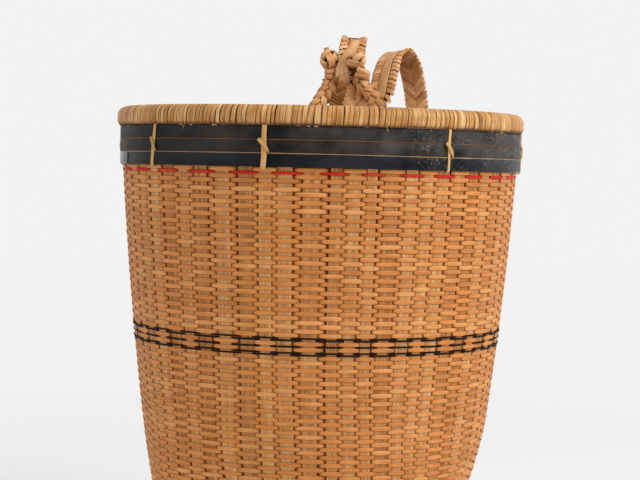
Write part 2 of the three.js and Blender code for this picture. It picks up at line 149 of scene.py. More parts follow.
def between(at, places, values):
    """The values' columns, interpolated between the places that they are given at."""
    return np.stack([np.interp(at, places, column) for column in values.T], -1)


def evenly(corners, count):
    """Points at even distances along a line of corners, and how far along it each lies."""
    length = travelled(corners)
    at = np.linspace(0, length[-1], count)
    return between(at, length, corners), at


def ripple(rng, at, height, length=1.0):
    """A sine wave along a line, height * sin(at / length + start), with a start anywhere in a turn."""
    start = rng.uniform(0, 6.28)
    return height * np.sin(at / length + start)


def ripples_round(rng, bearing, height, counts):
    """A sum of sine waves round the basket, one for each count of waves in a turn, each with its own
    random height and start."""
    return sum(ripple(rng, k * bearing, rng.normal() * height) for k in counts)


def tangents(path, ring=False):
    """The direction of travel at each point: the next point less the one before, at unit length."""
    if ring:
        return unit(np.roll(path, -1, -2) - np.roll(path, 1, -2))
    return unit(np.gradient(path, axis=-2))


def swept(path, lift, section, ring=False):
    """A section carried along a path: each point is the path's own, plus the section's first number
    across the path and its second along the lift, which is first turned square to the path."""
    way = tangents(path, ring)
    across = unit(np.cross(lift, way))
    depth = np.cross(way, across)
    aside, out = section[..., :1], section[..., 1:]
    return path[..., None, :] + aside * across[..., None, :] + out * depth[..., None, :]


class Piece:
    """Closed strips gathered into one mesh, each with its UV in millimetres and its own tone."""

    def __init__(self):
        self.points, self.loops, self.sizes, self.uv, self.tone, self.hollow = [], [], [], [], [], []
        self.count = 0

    def add(self, points, tone=0.5, ring=False, start=0.0, hollow=0.0):
        """Adds strips, points[strip, along, around], whose section closes on itself. A ring's ends meet,
        and other strips are capped. U is the length along the strip's middle, V the way round it. The last
        argument is the painted shade that each point gets, from 0 to 1, where it lies down among the others."""
        points = np.asarray(points, float)
        if points.ndim == 3:
            points = points[None]
        strips, along, around, _ = points.shape
        tone = np.broadcast_to(np.asarray(tone, float), (strips,))
        start = np.broadcast_to(np.asarray(start, float), (strips,))
        middle = points.mean(2)
        if ring:
            middle = np.concatenate([middle, middle[:, :1]], 1)
        u = np.zeros((strips, along + 1))
        steps = np.linalg.norm(np.diff(middle, axis=1), axis=-1)
        u[:, 1:steps.shape[1] + 1] = np.cumsum(steps, 1)
        u += start[:, None]
        edge = np.linalg.norm(np.roll(points[:, along // 2], -1, 1) - points[:, along // 2], axis=-1)
        v = np.concatenate([np.zeros((strips, 1)), np.cumsum(edge, 1)], 1)

        strip, row, col = np.meshgrid(
            np.arange(strips), np.arange(along if ring else along - 1), np.arange(around), indexing="ij"
        )
        here, ahead = row, (row + 1) % along
        beside = (col + 1) % around
        index = lambda r, c: (strip * along + r) * around + c
        quads = np.stack([index(here, col), index(here, beside), index(ahead, beside), index(ahead, col)], -1)
        uv = np.stack(
            [
                np.stack([u[strip, row], v[strip, col]], -1),
                np.stack([u[strip, row], v[strip, col + 1]], -1),
                np.stack([u[strip, row + 1], v[strip, col + 1]], -1),
                np.stack([u[strip, row + 1], v[strip, col]], -1),
            ],
            -2,
        )
        quads, uv = quads.reshape(-1, 4), uv.reshape(-1, 4, 2)
        flat = points.reshape(-1, 3)
        a, b, c, d = (flat[quads[:, k]] for k in range(4))
        facing = np.cross(b - a, c - a) + np.cross(c - a, d - a)
        inward = np.einsum("ij,ij->i", a - flat.mean(0), facing).sum() < 0
        caps = []
        if not ring:
            first = (np.arange(strips)[:, None] * along) * around + np.arange(around)
            last = first + (along - 1) * around
            caps = [(first[:, ::-1], u[:, 0]), (last, u[:, along - 1])]
        if inward:
            quads, uv = quads[:, ::-1], uv[:, ::-1]
            caps = [(corners[:, ::-1], at) for corners, at in caps]
        self.points.append(flat)
        self.loops.append((quads + self.count).ravel())
        self.uv.append(uv.reshape(-1, 2))
        self.sizes.append(np.full(len(quads), 4))
        for corners, at in caps:
            self.loops.append((corners + self.count).ravel())
            self.uv.append(np.stack([np.repeat(at, around), np.zeros(strips * around)], -1))
            self.sizes.append(np.full(strips, around))
        self.tone.append(np.repeat(tone, along * around))
        self.hollow.append(np.broadcast_to(np.asarray(hollow, float), (strips, along, around)).ravel())
        self.count += len(flat)
        return self

    def make(self, name, material, body="basket", replaces=(), slot=None, sharp=None):
        """Writes the strips into a mesh object, with its UV map and its tone attribute."""
        loops, sizes = np.concatenate(self.loops), np.concatenate(self.sizes)
        mesh = bpy.data.meshes.new(name)
        mesh.vertices.add(self.count)
        mesh.vertices.foreach_set("co", (np.concatenate(self.points) * MM).astype(np.float32).ravel())
        mesh.loops.add(len(loops))
        mesh.loops.foreach_set("vertex_index", loops.astype(np.int32))
        mesh.polygons.add(len(sizes))
        mesh.polygons.foreach_set("loop_start", (np.cumsum(sizes) - sizes).astype(np.int32))
        mesh.update(calc_edges=True)
        mesh.uv_layers.new(name="strip").uv.foreach_set(
            "vector", np.concatenate(self.uv).astype(np.float32).ravel()
        )
        # Tone, and the painted shade that the materials darken the colour by
        for attribute, values in (("tone", self.tone), ("hollow", self.hollow)):
            mesh.attributes.new(attribute, "FLOAT", "POINT").data.foreach_set(
                "value", np.concatenate(values).astype(np.float32)
            )
        mesh.polygons.foreach_set("use_smooth", np.ones(len(sizes), bool))
        if sharp:
            mesh.set_sharp_from_angle(angle=math.radians(sharp))
        mesh.materials.append(material)
        made = bpy.data.objects.new(name, mesh)
        bpy.context.scene.collection.objects.link(made)
        if body:
            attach(made, body)
        if replaces:
            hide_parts(*replaces)
        return made


# The wall's outline


def smoothstep(x):
    """0 below 0, 1 above 1, and x^2 (3 - 2x) between."""
    x = np.clip(x, 0, 1)
    return x * x * (3 - 2 * x)


def outline(z, bearing):
    """The wall's outer radius: a circle above, which turns below into |x|^p + |y|^p = half^p."""
    up = np.clip(z / BAND_BOTTOM, 0, 1)
    radius = BASE_CORNER + (WALL_RADIUS - BASE_CORNER) * (up + BELLY * up * (1 - up))
    square = 1 - smoothstep(z / SQUARE_BELOW)
    half = radius * (1 - FLAT_CUT * square)
    power = 2 + (BASE_POWER - 2) * square
    return half / (np.abs(np.sin(bearing)) ** power + np.abs(np.cos(bearing)) ** power) ** (1 / power)


def round_wall(bearing, z, out):
    """The point at a bearing and height, out from the wall's outer face."""
    return round_axis(bearing, outline(z, bearing) + out, z)


def stake_cells():
    """The stakes' own widths, and how far each cell's edge and middle lie from an even spacing, in mean
    stakes. A cell is its stake's width and a gap, which is the same for all of them. The cells are then
    drawn together or apart, with their stakes, so that the red row's dashes stand at their bearings."""
    rng = np.random.default_rng(23)
    width = np.clip(rng.normal(STAKE_WIDTH, 1.4, STAKES), 11.5, 17)
    mouth = 2 * np.pi * WALL_RADIUS
    cell = width + (mouth - width.sum()) / STAKES
    edge = np.concatenate([[0], np.cumsum(cell)]) / mouth * STAKES
    even = np.arange(2 * STAKES + 1) / 2
    drift = np.interp(even, np.arange(STAKES + 1), edge) - even
    dash = FIRST_DASH + 2 * np.arange(len(DASH_BEARINGS))
    wanted = np.array(DASH_BEARINGS) / 360 * STAKES - dash
    missing = wanted - np.interp(np.mod(dash + 0.5, STAKES), even, drift)
    drift += np.interp(even, dash + 0.5, missing, period=STAKES)
    stretch = np.diff((even + drift)[::2]) / np.diff(edge)
    return width * stretch, even, drift


STAKE_WIDTHS, CELL_PLACE, CELL_DRIFT = stake_cells()


def stake_bearing(stake, z):
    """Where a stake stands, counted round from the front. At the mouth the wider stakes take more room.
    At the base they are an equal distance apart along each side, and between they shift over."""
    side = np.floor(stake / STAKES_A_SIDE + 0.5)
    across = stake - side * STAKES_A_SIDE
    drift = np.interp(np.mod(stake + 0.5, STAKES), CELL_PLACE, CELL_DRIFT)
    fanned = (stake + drift) * (np.pi / 2 / STAKES_A_SIDE)
    even = side * np.pi / 2 + np.arctan(across / (STAKES_A_SIDE / 2))
    straight = 1 - smoothstep(z / (1.5 * SQUARE_BELOW))
    return fanned + (even - fanned) * straight


# Materials


class Nodes:
    """A node tree, with short calls for its nodes."""

    def __init__(self, tree):
        self.tree = tree

    def node(self, kind, **inputs):
        """A new node, with its inputs set by name."""
        made = self.tree.nodes.new(kind)
        for name, value in inputs.items():
            self.set(made.inputs[name.replace("_", " ")], value)
        return made

    def attribute(self, name):
        """The number that a mesh attribute holds at each point."""
        made = self.node("ShaderNodeAttribute")
        made.attribute_name = name
        return made.outputs["Fac"]

    def set(self, socket, value):
        """Links a socket to the value, or writes the value on the socket if it's plain."""
        if isinstance(value, bpy.types.NodeSocket):
            self.tree.links.new(value, socket)
        else:
            socket.default_value = value

    def math(self, operation, *values):
        """The outcome of a named operation on values."""
        made = self.tree.nodes.new("ShaderNodeMath")
        made.operation = operation
        for socket, value in zip(made.inputs, values):
            self.set(socket, value)
        return made.outputs[0]

    def times(self, first, second):
        """The product of two values."""
        return self.math("MULTIPLY", first, second)

    def plus(self, first, second):
        """The sum of two values."""
        return self.math("ADD", first, second)

    def parts(self, vector):
        """A vector's three values."""
        return list(self.node("ShaderNodeSeparateXYZ", Vector=vector).outputs)

    def scaled(self, values, scales):
        """A vector of three values, each times its own scale."""
        joined = self.node("ShaderNodeCombineXYZ")
        for socket, value, scale in zip(joined.inputs, values, scales):
            self.set(socket, self.times(value, scale))
        return joined.outputs[0]

    def noise(self, where, scale=1.0, detail=3.0, roughness=0.6):
        """A noise from 0 to 1 over the places."""
        made = self.node("ShaderNodeTexNoise", Vector=where, Scale=scale, Detail=detail, Roughness=roughness)
        return made.outputs["Fac"]

    def ramp(self, value, *stops):
        """A colour ramp from its stops, each a place from 0 to 1 and an sRGB colour from 0 to 255."""
        made = self.tree.nodes.new("ShaderNodeValToRGB")
        self.set(made.inputs[0], value)
        elements = made.color_ramp.elements
        while len(elements) < len(stops):
            elements.new(0.5)
        for element, (at, colour) in zip(elements, stops):
            element.position = at
            element.color = srgb(*colour)
        return made.outputs[0]

    def range(self, value, low, high, to_low=0.0, to_high=1.0):
        """The value carried from low and high to two new ends, and held at them."""
        made = self.tree.nodes.new("ShaderNodeMapRange")
        for socket, number in zip(made.inputs, (value, low, high, to_low, to_high)):
            self.set(socket, number)
        return made.outputs[0]

    def mix(self, kind, factor, first, second):
        """The first colour, with the second laid over it by a factor."""
        made = self.tree.nodes.new("ShaderNodeMix")
        made.data_type = "RGBA"
        made.blend_type = kind
        self.set(made.inputs[0], factor)
        self.set(made.inputs[6], first)
        self.set(made.inputs[7], second)
        return made.outputs[2]


class Shader(Nodes):
    """A material, with the strips' own UV and tone."""

    def __init__(self, name):
        self.material = bpy.data.materials.new(name)
        self.material.use_nodes = True
        super().__init__(self.material.node_tree)
        self.surface = self.tree.nodes["Principled BSDF"]

    @cached_property
    def uv(self):
        """The strip's own UV in millimetres, along it and round it."""
        made = self.node("ShaderNodeUVMap")
        made.uv_map = "strip"
        return made.outputs[0]

    @cached_property
    def tone(self):
        """The strip's own tone, the same all along it."""
        return self.attribute("tone")

    @cached_property
    def place(self):
        """The place on the object, in metres."""
        return self.node("ShaderNodeTexCoord").outputs["Object"]

    def along(self, length, across, seed=37.0):
        """The strip's UV scaled by length along it and by across over its width, with its tone as depth."""
        u, v, _ = self.parts(self.uv)
        return self.scaled((u, v, self.tone), (length, across, seed))

    def bump(self, height, distance):
        """Lets the surface stand up with the height, by a distance in millimetres."""
        made = self.node("ShaderNodeBump", Height=height, Distance=distance * MM, Strength=1.0)
        self.set(self.surface.inputs["Normal"], made.outputs[0])

    def finish(self, colour, roughness, **plain):
        """Gives the surface its colour, its roughness and other plain numbers, and hands it over."""
        self.set(self.surface.inputs["Base Color"], colour)
        self.set(self.surface.inputs["Roughness"], roughness)
        for name, value in plain.items():
            self.surface.inputs[name.replace("_", " ")].default_value = value
        return self.material


def srgb(red, green, blue):
    """An sRGB colour from 0 to 255, as the linear colour that Blender's sockets take."""
    parts = np.array([red, green, blue]) / 255
    linear = np.where(parts <= 0.04045, parts / 12.92, ((parts + 0.055) / 1.055) ** 2.4)
    return (*linear, 1.0)


PATCH_SHARE, FINE_SHARE = 0.7, 0.25  # of a strip's patches and of its fine fibres in its colour
COLOUR_REACH = 0.34  # how far from its middle that value takes the colour to its dark and light ends


def cane(name, dark, middle, light, roughness=0.52, grain=0.05, fibres=3.0, spread=0.3, lines=0.45,
         specks=0.0, line_count=0.95, gloss=0.26):
    """Split cane: streaks and fibres along the strip over a tone of its own. Its colour runs from dark
    to light by that tone, by slow patches along the strip, by streaks and by fine fibres. A low noise
    over the whole object stains it a little, and painted shade darkens it and takes its gloss away by the
    painted shade attribute. Specks are dark marks. Spread and lines are the tone's and the streaks'
    shares, grain is the bump's depth, and line_count and fibres are how many streaks and fibres lie side
    by side in a millimetre."""
    shade = Shader(name)
    patches = shade.noise(shade.along(0.03, 0.1), detail=2.0)
    streaks = shade.noise(shade.along(0.03, line_count, 91.0), detail=3.0)
    fine = shade.noise(shade.along(0.16, fibres, 53.0), detail=2.0)
    value = shade.times(shade.tone, spread)
    for part, share in ((patches, PATCH_SHARE), (streaks, lines), (fine, FINE_SHARE)):
        value = shade.plus(value, shade.times(part, share))
    middle_value = 0.5 * (spread + PATCH_SHARE + lines + FINE_SHARE)
    value = shade.range(value, middle_value - COLOUR_REACH, middle_value + COLOUR_REACH)
    colour = shade.ramp(value, (0.0, dark), (0.5, middle), (1.0, light))
    stain = shade.range(shade.noise(shade.place, scale=11.0, detail=3.0), 0.55, 0.85, 0.0, 0.3)
    colour = shade.mix("MULTIPLY", stain, colour, srgb(176, 146, 132))
    if specks:
        marks = shade.range(shade.noise(shade.along(0.33, 0.5, 19.0), detail=1.0), 0.71, 0.76, 0.0, specks)
        colour = shade.mix("MIX", marks, colour, srgb(70, 32, 10))
    # Painted shade: the colour is multiplied dark by the painted shade attribute, and the gloss fades there
    hollow = shade.attribute("hollow")
    colour = shade.mix("MULTIPLY", hollow, colour, srgb(116, 56, 14))
    shade.set(shade.surface.inputs["Specular IOR Level"], shade.range(hollow, 0.0, 0.5, gloss, 0.0))
    shade.bump(shade.plus(shade.times(streaks, 0.7), fine), grain)
    rough = shade.range(fine, 0.3, 0.7, roughness - 0.08, roughness + 0.1)
    return shade.finish(colour, rough, Specular_IOR_Level=gloss)


def lacquer(name, body, dust_and_sheen_colour, roughness, painted_glare_from=None):
    """Black lacquer on a flat hoop: fine scratches along it, a few across it, dusty clouds and pale
    scuffs where two noises are high together. The dust's share grows towards +X, the lit side, where
    it is also a painted sheen, and the scuffs grow that way too. Past a length of the strip there may
    be a painted glare on the lapped end: a pale patch with a slanted edge that fades along it."""
    shade = Shader(name)
    long_scratch = shade.noise(shade.along(0.012, 2.4), detail=4.0)
    cross_scratch = shade.noise(shade.along(0.5, 0.3, 71.0), detail=4.0)
    cloud = shade.noise(shade.place, scale=28.0, detail=5.0)
    aside = shade.parts(shade.place)[0]
    patch = shade.noise(shade.place, scale=9.0, detail=2.0)
    patch = shade.plus(patch, shade.range(aside, 0.12, 0.165, -0.045, 0.1))
    scuff = shade.times(shade.range(cross_scratch, 0.58, 0.68), shade.range(patch, 0.46, 0.58))
    streak = shade.range(long_scratch, 0.6, 0.8, 0.0, 0.4)
    # Dust clouds, which are also a painted sheen: their share grows towards +X, the lit side
    dust_and_painted_sheen = shade.times(shade.range(cloud, 0.34, 0.72), shade.range(aside, -0.19, 0.19, 0.02, 0.78))
    colour = shade.mix("MIX", dust_and_painted_sheen, srgb(*body), srgb(*dust_and_sheen_colour))
    colour = shade.mix("MIX", streak, colour, srgb(78, 66, 58))
    scuffed = shade.times(scuff, shade.range(aside, -0.1, 0.19, 0.35, 0.85))
    colour = shade.mix("MIX", scuffed, colour, srgb(140, 130, 116))
    # Painted glare: a pale patch past a length of the strip, with a slanted edge, fading along the lapped end
    if painted_glare_from:
        u, v, _ = shade.parts(shade.uv)
        ragged = shade.plus(shade.plus(u, shade.times(v, 0.12)), shade.times(long_scratch, 7.0))
        starting = shade.range(ragged, painted_glare_from, painted_glare_from + 6.0)
        fading = shade.range(ragged, painted_glare_from + 8.0, painted_glare_from + 34.0, 0.8, 0.25)
        painted_glare = shade.times(starting, fading)
        colour = shade.mix("MIX", painted_glare, colour, srgb(180, 177, 175))
    shade.bump(shade.plus(long_scratch, cross_scratch), 0.03)
    rough = shade.range(cloud, 0.35, 0.7, roughness, roughness + 0.16)
    return shade.finish(colour, rough, Specular_IOR_Level=0.11)


def hidden_cane(name):
    """The cane of the hoops inside the windings, grained round the basket, painted dark brown as the
    shade in the cracks between the turns.
    """
    shade = Shader(name)
    grain = shade.noise(shade.scaled(shade.parts(shade.place), (12.0, 12.0, 900.0)), detail=3.0)
    colour = shade.ramp(grain, (0.3, (42, 24, 14)), (0.7, (104, 66, 38)))
    shade.bump(grain, 0.2)
    return shade.finish(colour, 0.7)


WEFT_CANE = cane("weft_cane", (164, 98, 44), (196, 124, 60), (222, 160, 98), roughness=0.5, specks=0.5,
                 spread=0.2)
STAKE_CANE = cane("stake_cane", (148, 92, 44), (194, 134, 76), (228, 180, 124), roughness=0.56, fibres=2.4,
                  grain=0.12, lines=0.9, line_count=0.55, spread=0.28, gloss=0.2)
# The rim cane's pale light end is partly a painted highlight
RIM_CANE = cane("rim_cane", (110, 62, 18), (182, 128, 66), (232, 192, 138), roughness=0.44, fibres=2.4,
                grain=0.12, spread=0.1, lines=0.9, line_count=0.6, gloss=0.34)
PALE_CANE = cane("pale_cane", (150, 104, 50), (196, 150, 88), (216, 178, 118), roughness=0.5)
SEAM_CANE = cane("seam_cane", (112, 74, 42), (160, 122, 84), (226, 192, 156), roughness=0.5, gloss=0.5)
HOOP_CANE = cane("hoop_cane", (66, 36, 18), (120, 74, 42), (186, 132, 84), roughness=0.6)
STRAP_CANE = cane("strap_cane", (126, 72, 30), (214, 154, 96), (240, 200, 150), roughness=0.48, fibres=2.2,
                  lines=0.8, grain=0.1)
STRIP_CANE = cane("strip_cane", (150, 100, 56), (206, 154, 100), (234, 194, 144), roughness=0.46, lines=0.8)
RED_CANE = cane("red_cane", (146, 20, 4), (192, 38, 14), (210, 80, 44), roughness=0.6, gloss=0.15)
BLACK_CANE = cane("black_cane", (16, 6, 2), (30, 13, 5), (56, 32, 17), roughness=0.65, gloss=0.08)
# The second colour is that of the dust and of the painted sheen
BLACK_LACQUER = lacquer("black_lacquer", (12, 11, 10), (92, 86, 80), 0.42)
HOOP_ROUND = 2 * math.pi * HOOP_RADIUS
# The lowest hoop has a painted glare on its lapped end
BLUE_BLACK_LACQUER = lacquer("blue_black_lacquer", (7, 10, 16), (58, 60, 64), 0.3,
                             painted_glare_from=HOOP_ROUND - 10)  # where the lowest hoop's end starts to lap
HIDDEN_CANE = hidden_cane("hidden_cane")

# The woven wall


def weft_rows():
    """Every row from the mouth down: its middle height, its own height, its finish and its beat, which
    stakes it passes in front of. The stripe's rows are thinner, and the beat alternates row by row. An
    even number of rows lies above the stripe, so that its middle row has the red row's beat."""
    rows = []
    top = BAND_BOTTOM + WEFT_PITCH + 0.1

    def run(kind, count, pitch):
        nonlocal top
        for _ in range(count):
            rows.append((top - pitch / 2, pitch, kind, (len(rows) + 1) % 2))
            top -= pitch

    stripe_top = BAND_BOTTOM - STRIPE_TOP
    run("cane", 2, WEFT_PITCH)
    run("red", 1, RED_ROW + 0.5)
    count = 2 * round((top - stripe_top) / WEFT_PITCH / 2)
    run("cane", count, (top - stripe_top) / count)
    for kind in STRIPE:
        run(kind, 1, THIN_ROW if kind == "black" else WEFT_PITCH)
    foot = MAT_TOP + GAP
    count = round((top - foot) / WEFT_PITCH)
    run("cane", count, (top - foot) / count)
    return rows


# A weft's section [up, out], as shares of its height and thickness, and its places about a stake
WEFT_SECTION = np.array([
    (-0.5, -0.2), (-0.45, 0.3), (-0.22, 0.5), (0.22, 0.5), (0.45, 0.3), (0.5, -0.2), (0, -0.5),
])
WEFT_STEPS = np.array([-0.5, -0.42, -0.365, -0.31, -0.18, 0.18, 0.31, 0.365, 0.42])
FLATNESS = 2.9  # how flat a weft lies in front of a stake, and how steeply it dives beside it
# For each kind of weft: how much more of the way lies in front than behind, the face's height at its two
# ends as a share of its middle's, the face's and the edges' heights as shares of the row's, and how much
# further it bows out and in than the others
WEFT_KINDS = {
    "cane": (0.42, 0.6, 1.18, 1.13, 0),
    "red": (0.56, 0.22, 1.15, 1.0, 0.1),
    "black": (0.62, 0.95, 0.97, 0.9, 0.5),
}
SLOW_DRIFT = 0.09  # of a whole row up and down, in each of its six slow waves
UNEVEN = np.array([0.13, 0.1, 0.045])  # from stake to stake: a shift up, a bulge out and a share of height


def weft_ring(middle, pitch, beat, kind, rng):
    """One row of weft: its points, and the painted shade on each, where it dives between the stakes and
    on its edges behind the face. Over the stakes' count u its way out is
    tanh(k (cos(pi u) + c)) / tanh(k (1 + c)), so that it lies flat in front of a stake, reaches past the
    gaps on both sides and dives steeply at the next stakes' edges. Its face tapers there, and behind the
    face its edges spread as wide as ever, so that the rows close up."""
    forward, ends, fullness, spread, proud = WEFT_KINDS[kind]
    u = (np.arange(STAKES)[:, None] + WEFT_STEPS).ravel()
    wave = np.tanh(FLATNESS * (np.cos(np.pi * (u + beat)) + forward)) / np.tanh(FLATNESS * (1 + forward))
    turns = np.arange(1, 7)
    slow, phases = rng.normal(size=6) * SLOW_DRIFT, rng.uniform(0, 2 * np.pi, 6)
    drift = (slow[:, None] * np.sin(turns[:, None] * u * 2 * np.pi / STAKES + phases[:, None])).sum(0)
    at_stake = np.arange(STAKES + 1)
    per_stake = rng.normal(size=(3, STAKES)) * UNEVEN[:, None]
    shift, bulge, swell = (np.interp(np.mod(u, STAKES), at_stake, np.append(v, v[0])) for v in per_stake)
    z = middle + (drift + shift) * min(1.0, pitch / WEFT_PITCH)
    bearing = stake_bearing(u, z)
    path = round_wall(bearing, z, WALL_MIDDLE + wave * (WEFT_BOW + bulge + proud))
    off_middle = np.abs(np.mod(u + beat + 1, 2) - 1)  # in stakes, from the middle of the weft's face
    taper = 1 - (1 - ends) * smoothstep((off_middle - 0.14) / 0.54)
    height = pitch * fullness * taper * (1 + rng.normal() * 0.03 + swell)
    face = WEFT_SECTION[:, 1] > 0
    tall = np.where(face, height[:, None], pitch * spread)
    # Where it dives between two stakes it lies deep in the gap and is thicker, to fill it
    diving = smoothstep((0.8 - wave) / 0.9) * smoothstep((wave + 1.05) / 0.5)
    thick = WEFT_THICK * (1 + 0.45 * diving[:, None])
    section = WEFT_SECTION * np.stack(np.broadcast_arrays(tall, thick), -1)
    # Painted shade: on the edges behind the face all along the row, and most where the weft dives between two
    # stakes
    behind = 0.4 * smoothstep((wave + 0.7) / 0.5)  # the edges behind the face are hollow all along it
    hollow = np.where(face, diving[:, None], np.maximum(diving, behind)[:, None])
    return swept(path, outward(bearing), section, ring=True), hollow[None]


ROWS_A_PIECE = 22


def make_wefts():
    """The rows of weft, in pieces small enough each, with the red and black rows as their own."""
    rng = np.random.default_rng(11)
    rings = [
        (kind, *weft_ring(middle, pitch, beat, kind, rng), rng.uniform())
        for middle, pitch, kind, beat in weft_rows()
    ]
    starts = rng.uniform(0, 4000, len(rings))
    of_kind = lambda wanted: [(*ring[1:], at) for ring, at in zip(rings, starts) if ring[0] == wanted]
    plain = of_kind("cane")
    for first in range(0, len(plain), ROWS_A_PIECE):
        piece = Piece()
        for ring, hollow, tone, start in plain[first:first + ROWS_A_PIECE]:
            piece.add(ring, tone, ring=True, start=start, hollow=hollow)
        piece.make(f"wefts_{first // ROWS_A_PIECE + 1}", WEFT_CANE, slot="woven_cane")
    for ring, hollow, tone, start in of_kind("red"):
        # The red row gets less of the painted shade
        piece = Piece().add(ring, tone, ring=True, start=start, hollow=hollow * 0.3)
        piece.make("red_weft_row", RED_CANE, replaces=["weft_red"], slot="red_cane")
    for count, (ring, _, tone, start) in enumerate(of_kind("black"), 1):
        piece = Piece().add(ring, tone, ring=True, start=start)
        piece.make(f"black_weft_row_{count}", BLACK_CANE, replaces=[f"weft_black_{count}"], slot="black_cane")


def make_stakes():
    """The upright stakes: flat strips of their own widths that follow the wall, split into ribs about
    2 mm wide. The face's depth is the strip's dome less a groove, 1 - |sin(ribs pi s)| to a power,
    across its width s. Lower down they are squeezed to leave the wefts their gaps."""
    rng = np.random.default_rng(29)
    face, back, along = 19, 4, 48  # points across the face, across the back and up the strip
    rib, rib_deep, gap = 2.0, 0.34, 2.2
    z = np.linspace(MAT_TOP - 1.2, HEIGHT - 2.5, along)
    ribs = np.clip(np.round(STAKE_WIDTHS / rib), 4, 8)
    s = np.linspace(0, 1, face)
    groove = 1 - np.abs(np.sin(np.pi * s * ribs[:, None])) ** 0.6
    groove *= rng.uniform(0.5, 1.0, (STAKES, 1)) * rng.uniform(0.5, 1.0, (STAKES, face))
    front = STAKE_THICK / 2 * (1 - (2 * s - 1) ** 4 * 0.7) - rib_deep * groove
    behind = np.full((STAKES, back), -STAKE_THICK / 2)
    across = np.concatenate([s - 0.5, np.linspace(0.5, -0.5, back)])
    depth = np.concatenate([front, behind], 1)
    pitch = outline(z, 0.0) * 2 * np.pi / STAKES
    squeeze = np.minimum(1.0, (pitch - gap) / STAKE_WIDTHS[:, None])
    wander = np.cumsum(rng.normal(size=(STAKES, along)) * 0.0025, 1)
    bearing = stake_bearing(np.arange(STAKES)[:, None] + wander, z)
    width = (STAKE_WIDTHS[:, None] * squeeze)[..., None] * across
    section = np.stack(np.broadcast_arrays(width, depth[:, None, :]), -1)
    strips = swept(round_wall(bearing, z, WALL_MIDDLE), outward(bearing), section)
    # Painted shade in the grooves between the ribs
    hollow = np.concatenate([groove * 0.75, np.zeros((STAKES, back))], 1)[:, None, :]
    tone, start = rng.uniform(size=STAKES), rng.uniform(0, 3000, STAKES)
    piece = Piece().add(strips, tone, start=start, hollow=hollow)
    piece.make("stakes", STAKE_CANE, replaces=["body_weave"], slot="woven_cane", sharp=50)


# Rim, hoops and lashings


def rim_profile(points):
    """Most of the way round the rim's section, [radius, height]: from under its outer edge, up its
    face, over the rounded top and down inside. Its foot stops short of the hoops and tucks in."""
    outer, inner, top = RIM_RADIUS - 0.2, RIM_RADIUS - 14.2, HEIGHT - 0.1
    foot = RIM_BOTTOM + 1.7
    corner, back_corner = 7.6, 6
    arc = np.linspace(0, np.pi / 2, 7)
    c, s = np.cos(arc), np.sin(arc)
    outside = [(outer - 3.2, foot), (outer - 1.0, foot + 0.4), (outer - 0.1, foot + 1.9), (outer, foot + 3.6)]
    over = np.stack([outer - corner + corner * c, top - corner + corner * s], -1)
    back = np.stack([inner + back_corner - back_corner * s, top - back_corner + back_corner * c], -1)
    inside = [(inner, RIM_BOTTOM + 3), (inner + 0.9, RIM_BOTTOM + 0.8), (inner + 2.4, RIM_BOTTOM + 0.1)]
    return evenly(np.concatenate([outside, over, back, inside]), points)[0]


def turn_widths(rng, total, usual, spread):
    """Widths of turns laid side by side that fill the total: each is the usual one, a function of the
    share of the way round, times a random number."""
    widths, used = [], 0.0
    while used < total:
        widths.append(usual(used / total) * np.clip(rng.normal(1, spread), 0.6, 1.7))
        used += widths[-1]
    widths = np.array(widths)
    return widths * total / widths.sum()


def make_rim():
    """The cane wound over the rim: one strip a turn, its section carried over the rim's profile, from
    t = 0 under the face to t = 1 down inside. Turns lie in tight groups with a crack between them. Each
    group leans, hangs and lies in or out as one. At the right the turns lie closer and are painted
    paler, as lit, and each has painted shade on its sides, less at the right, and at its foot."""
    rng = np.random.default_rng(5)
    round_rim = 2 * np.pi * RIM_RADIUS
    usual = lambda share: 4.9 + 1.2 * np.sin(2 * np.pi * (share - 0.02))
    widths = turn_widths(rng, round_rim, usual, 0.2)
    turns = len(widths)
    middle = (np.cumsum(widths) - widths / 2) / round_rim * 2 * np.pi
    first = rng.uniform(size=turns) < 0.38
    group = np.cumsum(first)
    by_group = lambda spread: (rng.normal(size=group[-1] + 1) * spread)[group]
    by_turn = lambda spread: rng.normal(size=turns) * spread
    profile = rim_profile(24)
    at_right = np.clip(np.sin(middle - 0.2), 0, 1)
    crack = np.where(first, rng.uniform(0.5, 1.0, turns), rng.uniform(0.02, 0.14, turns))
    crack *= 1 - 0.6 * at_right
    raised = by_group(0.16) + by_turn(0.06)
    lean = 1.5 + by_group(0.5)
    hang = by_group(0.35) + by_turn(0.12)

    t = np.linspace(0, 1, len(profile))
    radius = profile[:, 0] + raised[:, None] * np.sin(np.pi * t)
    z = profile[:, 1] - hang[:, None] * np.clip(1 - t / 0.12, 0, 1)
    up = (z - RIM_BOTTOM) / (HEIGHT - RIM_BOTTOM)
    slide = lean[:, None] * (up - 0.5) * np.where(t < 0.5, 1, -0.4)
    bearing = middle[:, None] + slide / RIM_RADIUS + (crack / 2)[:, None] / RIM_RADIUS
    path = round_axis(bearing, radius, z)
    lift = unit(np.cross(tangents(path), onward(bearing)))
    narrow = 1 - 0.3 * np.clip(1 - t / 0.06, 0, 1) ** 1.5
    section = band_section((widths - crack)[:, None] * narrow, 1.5, 8, 0.36)
    # Painted shade at each turn's foot and on its sides, less towards the lit right
    foot_shade = (np.clip(1 - t / 0.1, 0, 1) * 0.8)[:, None]
    side_shade = np.array([0.9, 0.9, 0.9, 0.9, 0.5, 0, 0, 0.5]) * (1 - 0.5 * at_right)[:, None, None]
    hollow = np.maximum(foot_shade, side_shade)
    # Painted light: the turns are paler towards the right, the lit side, over their own tone by group and by
    # turn
    tone = np.clip(0.5 + 0.3 * at_right + by_group(0.3) + by_turn(0.12), 0, 1.3)
    start = rng.uniform(0, 900, turns)
    piece = Piece().add(swept(path, lift, section), tone, start=start, hollow=hollow)
    piece.make("rim_winding", RIM_CANE, replaces=["rim_wrap"], slot="pale_cane")
    make_rim_ends(rng)


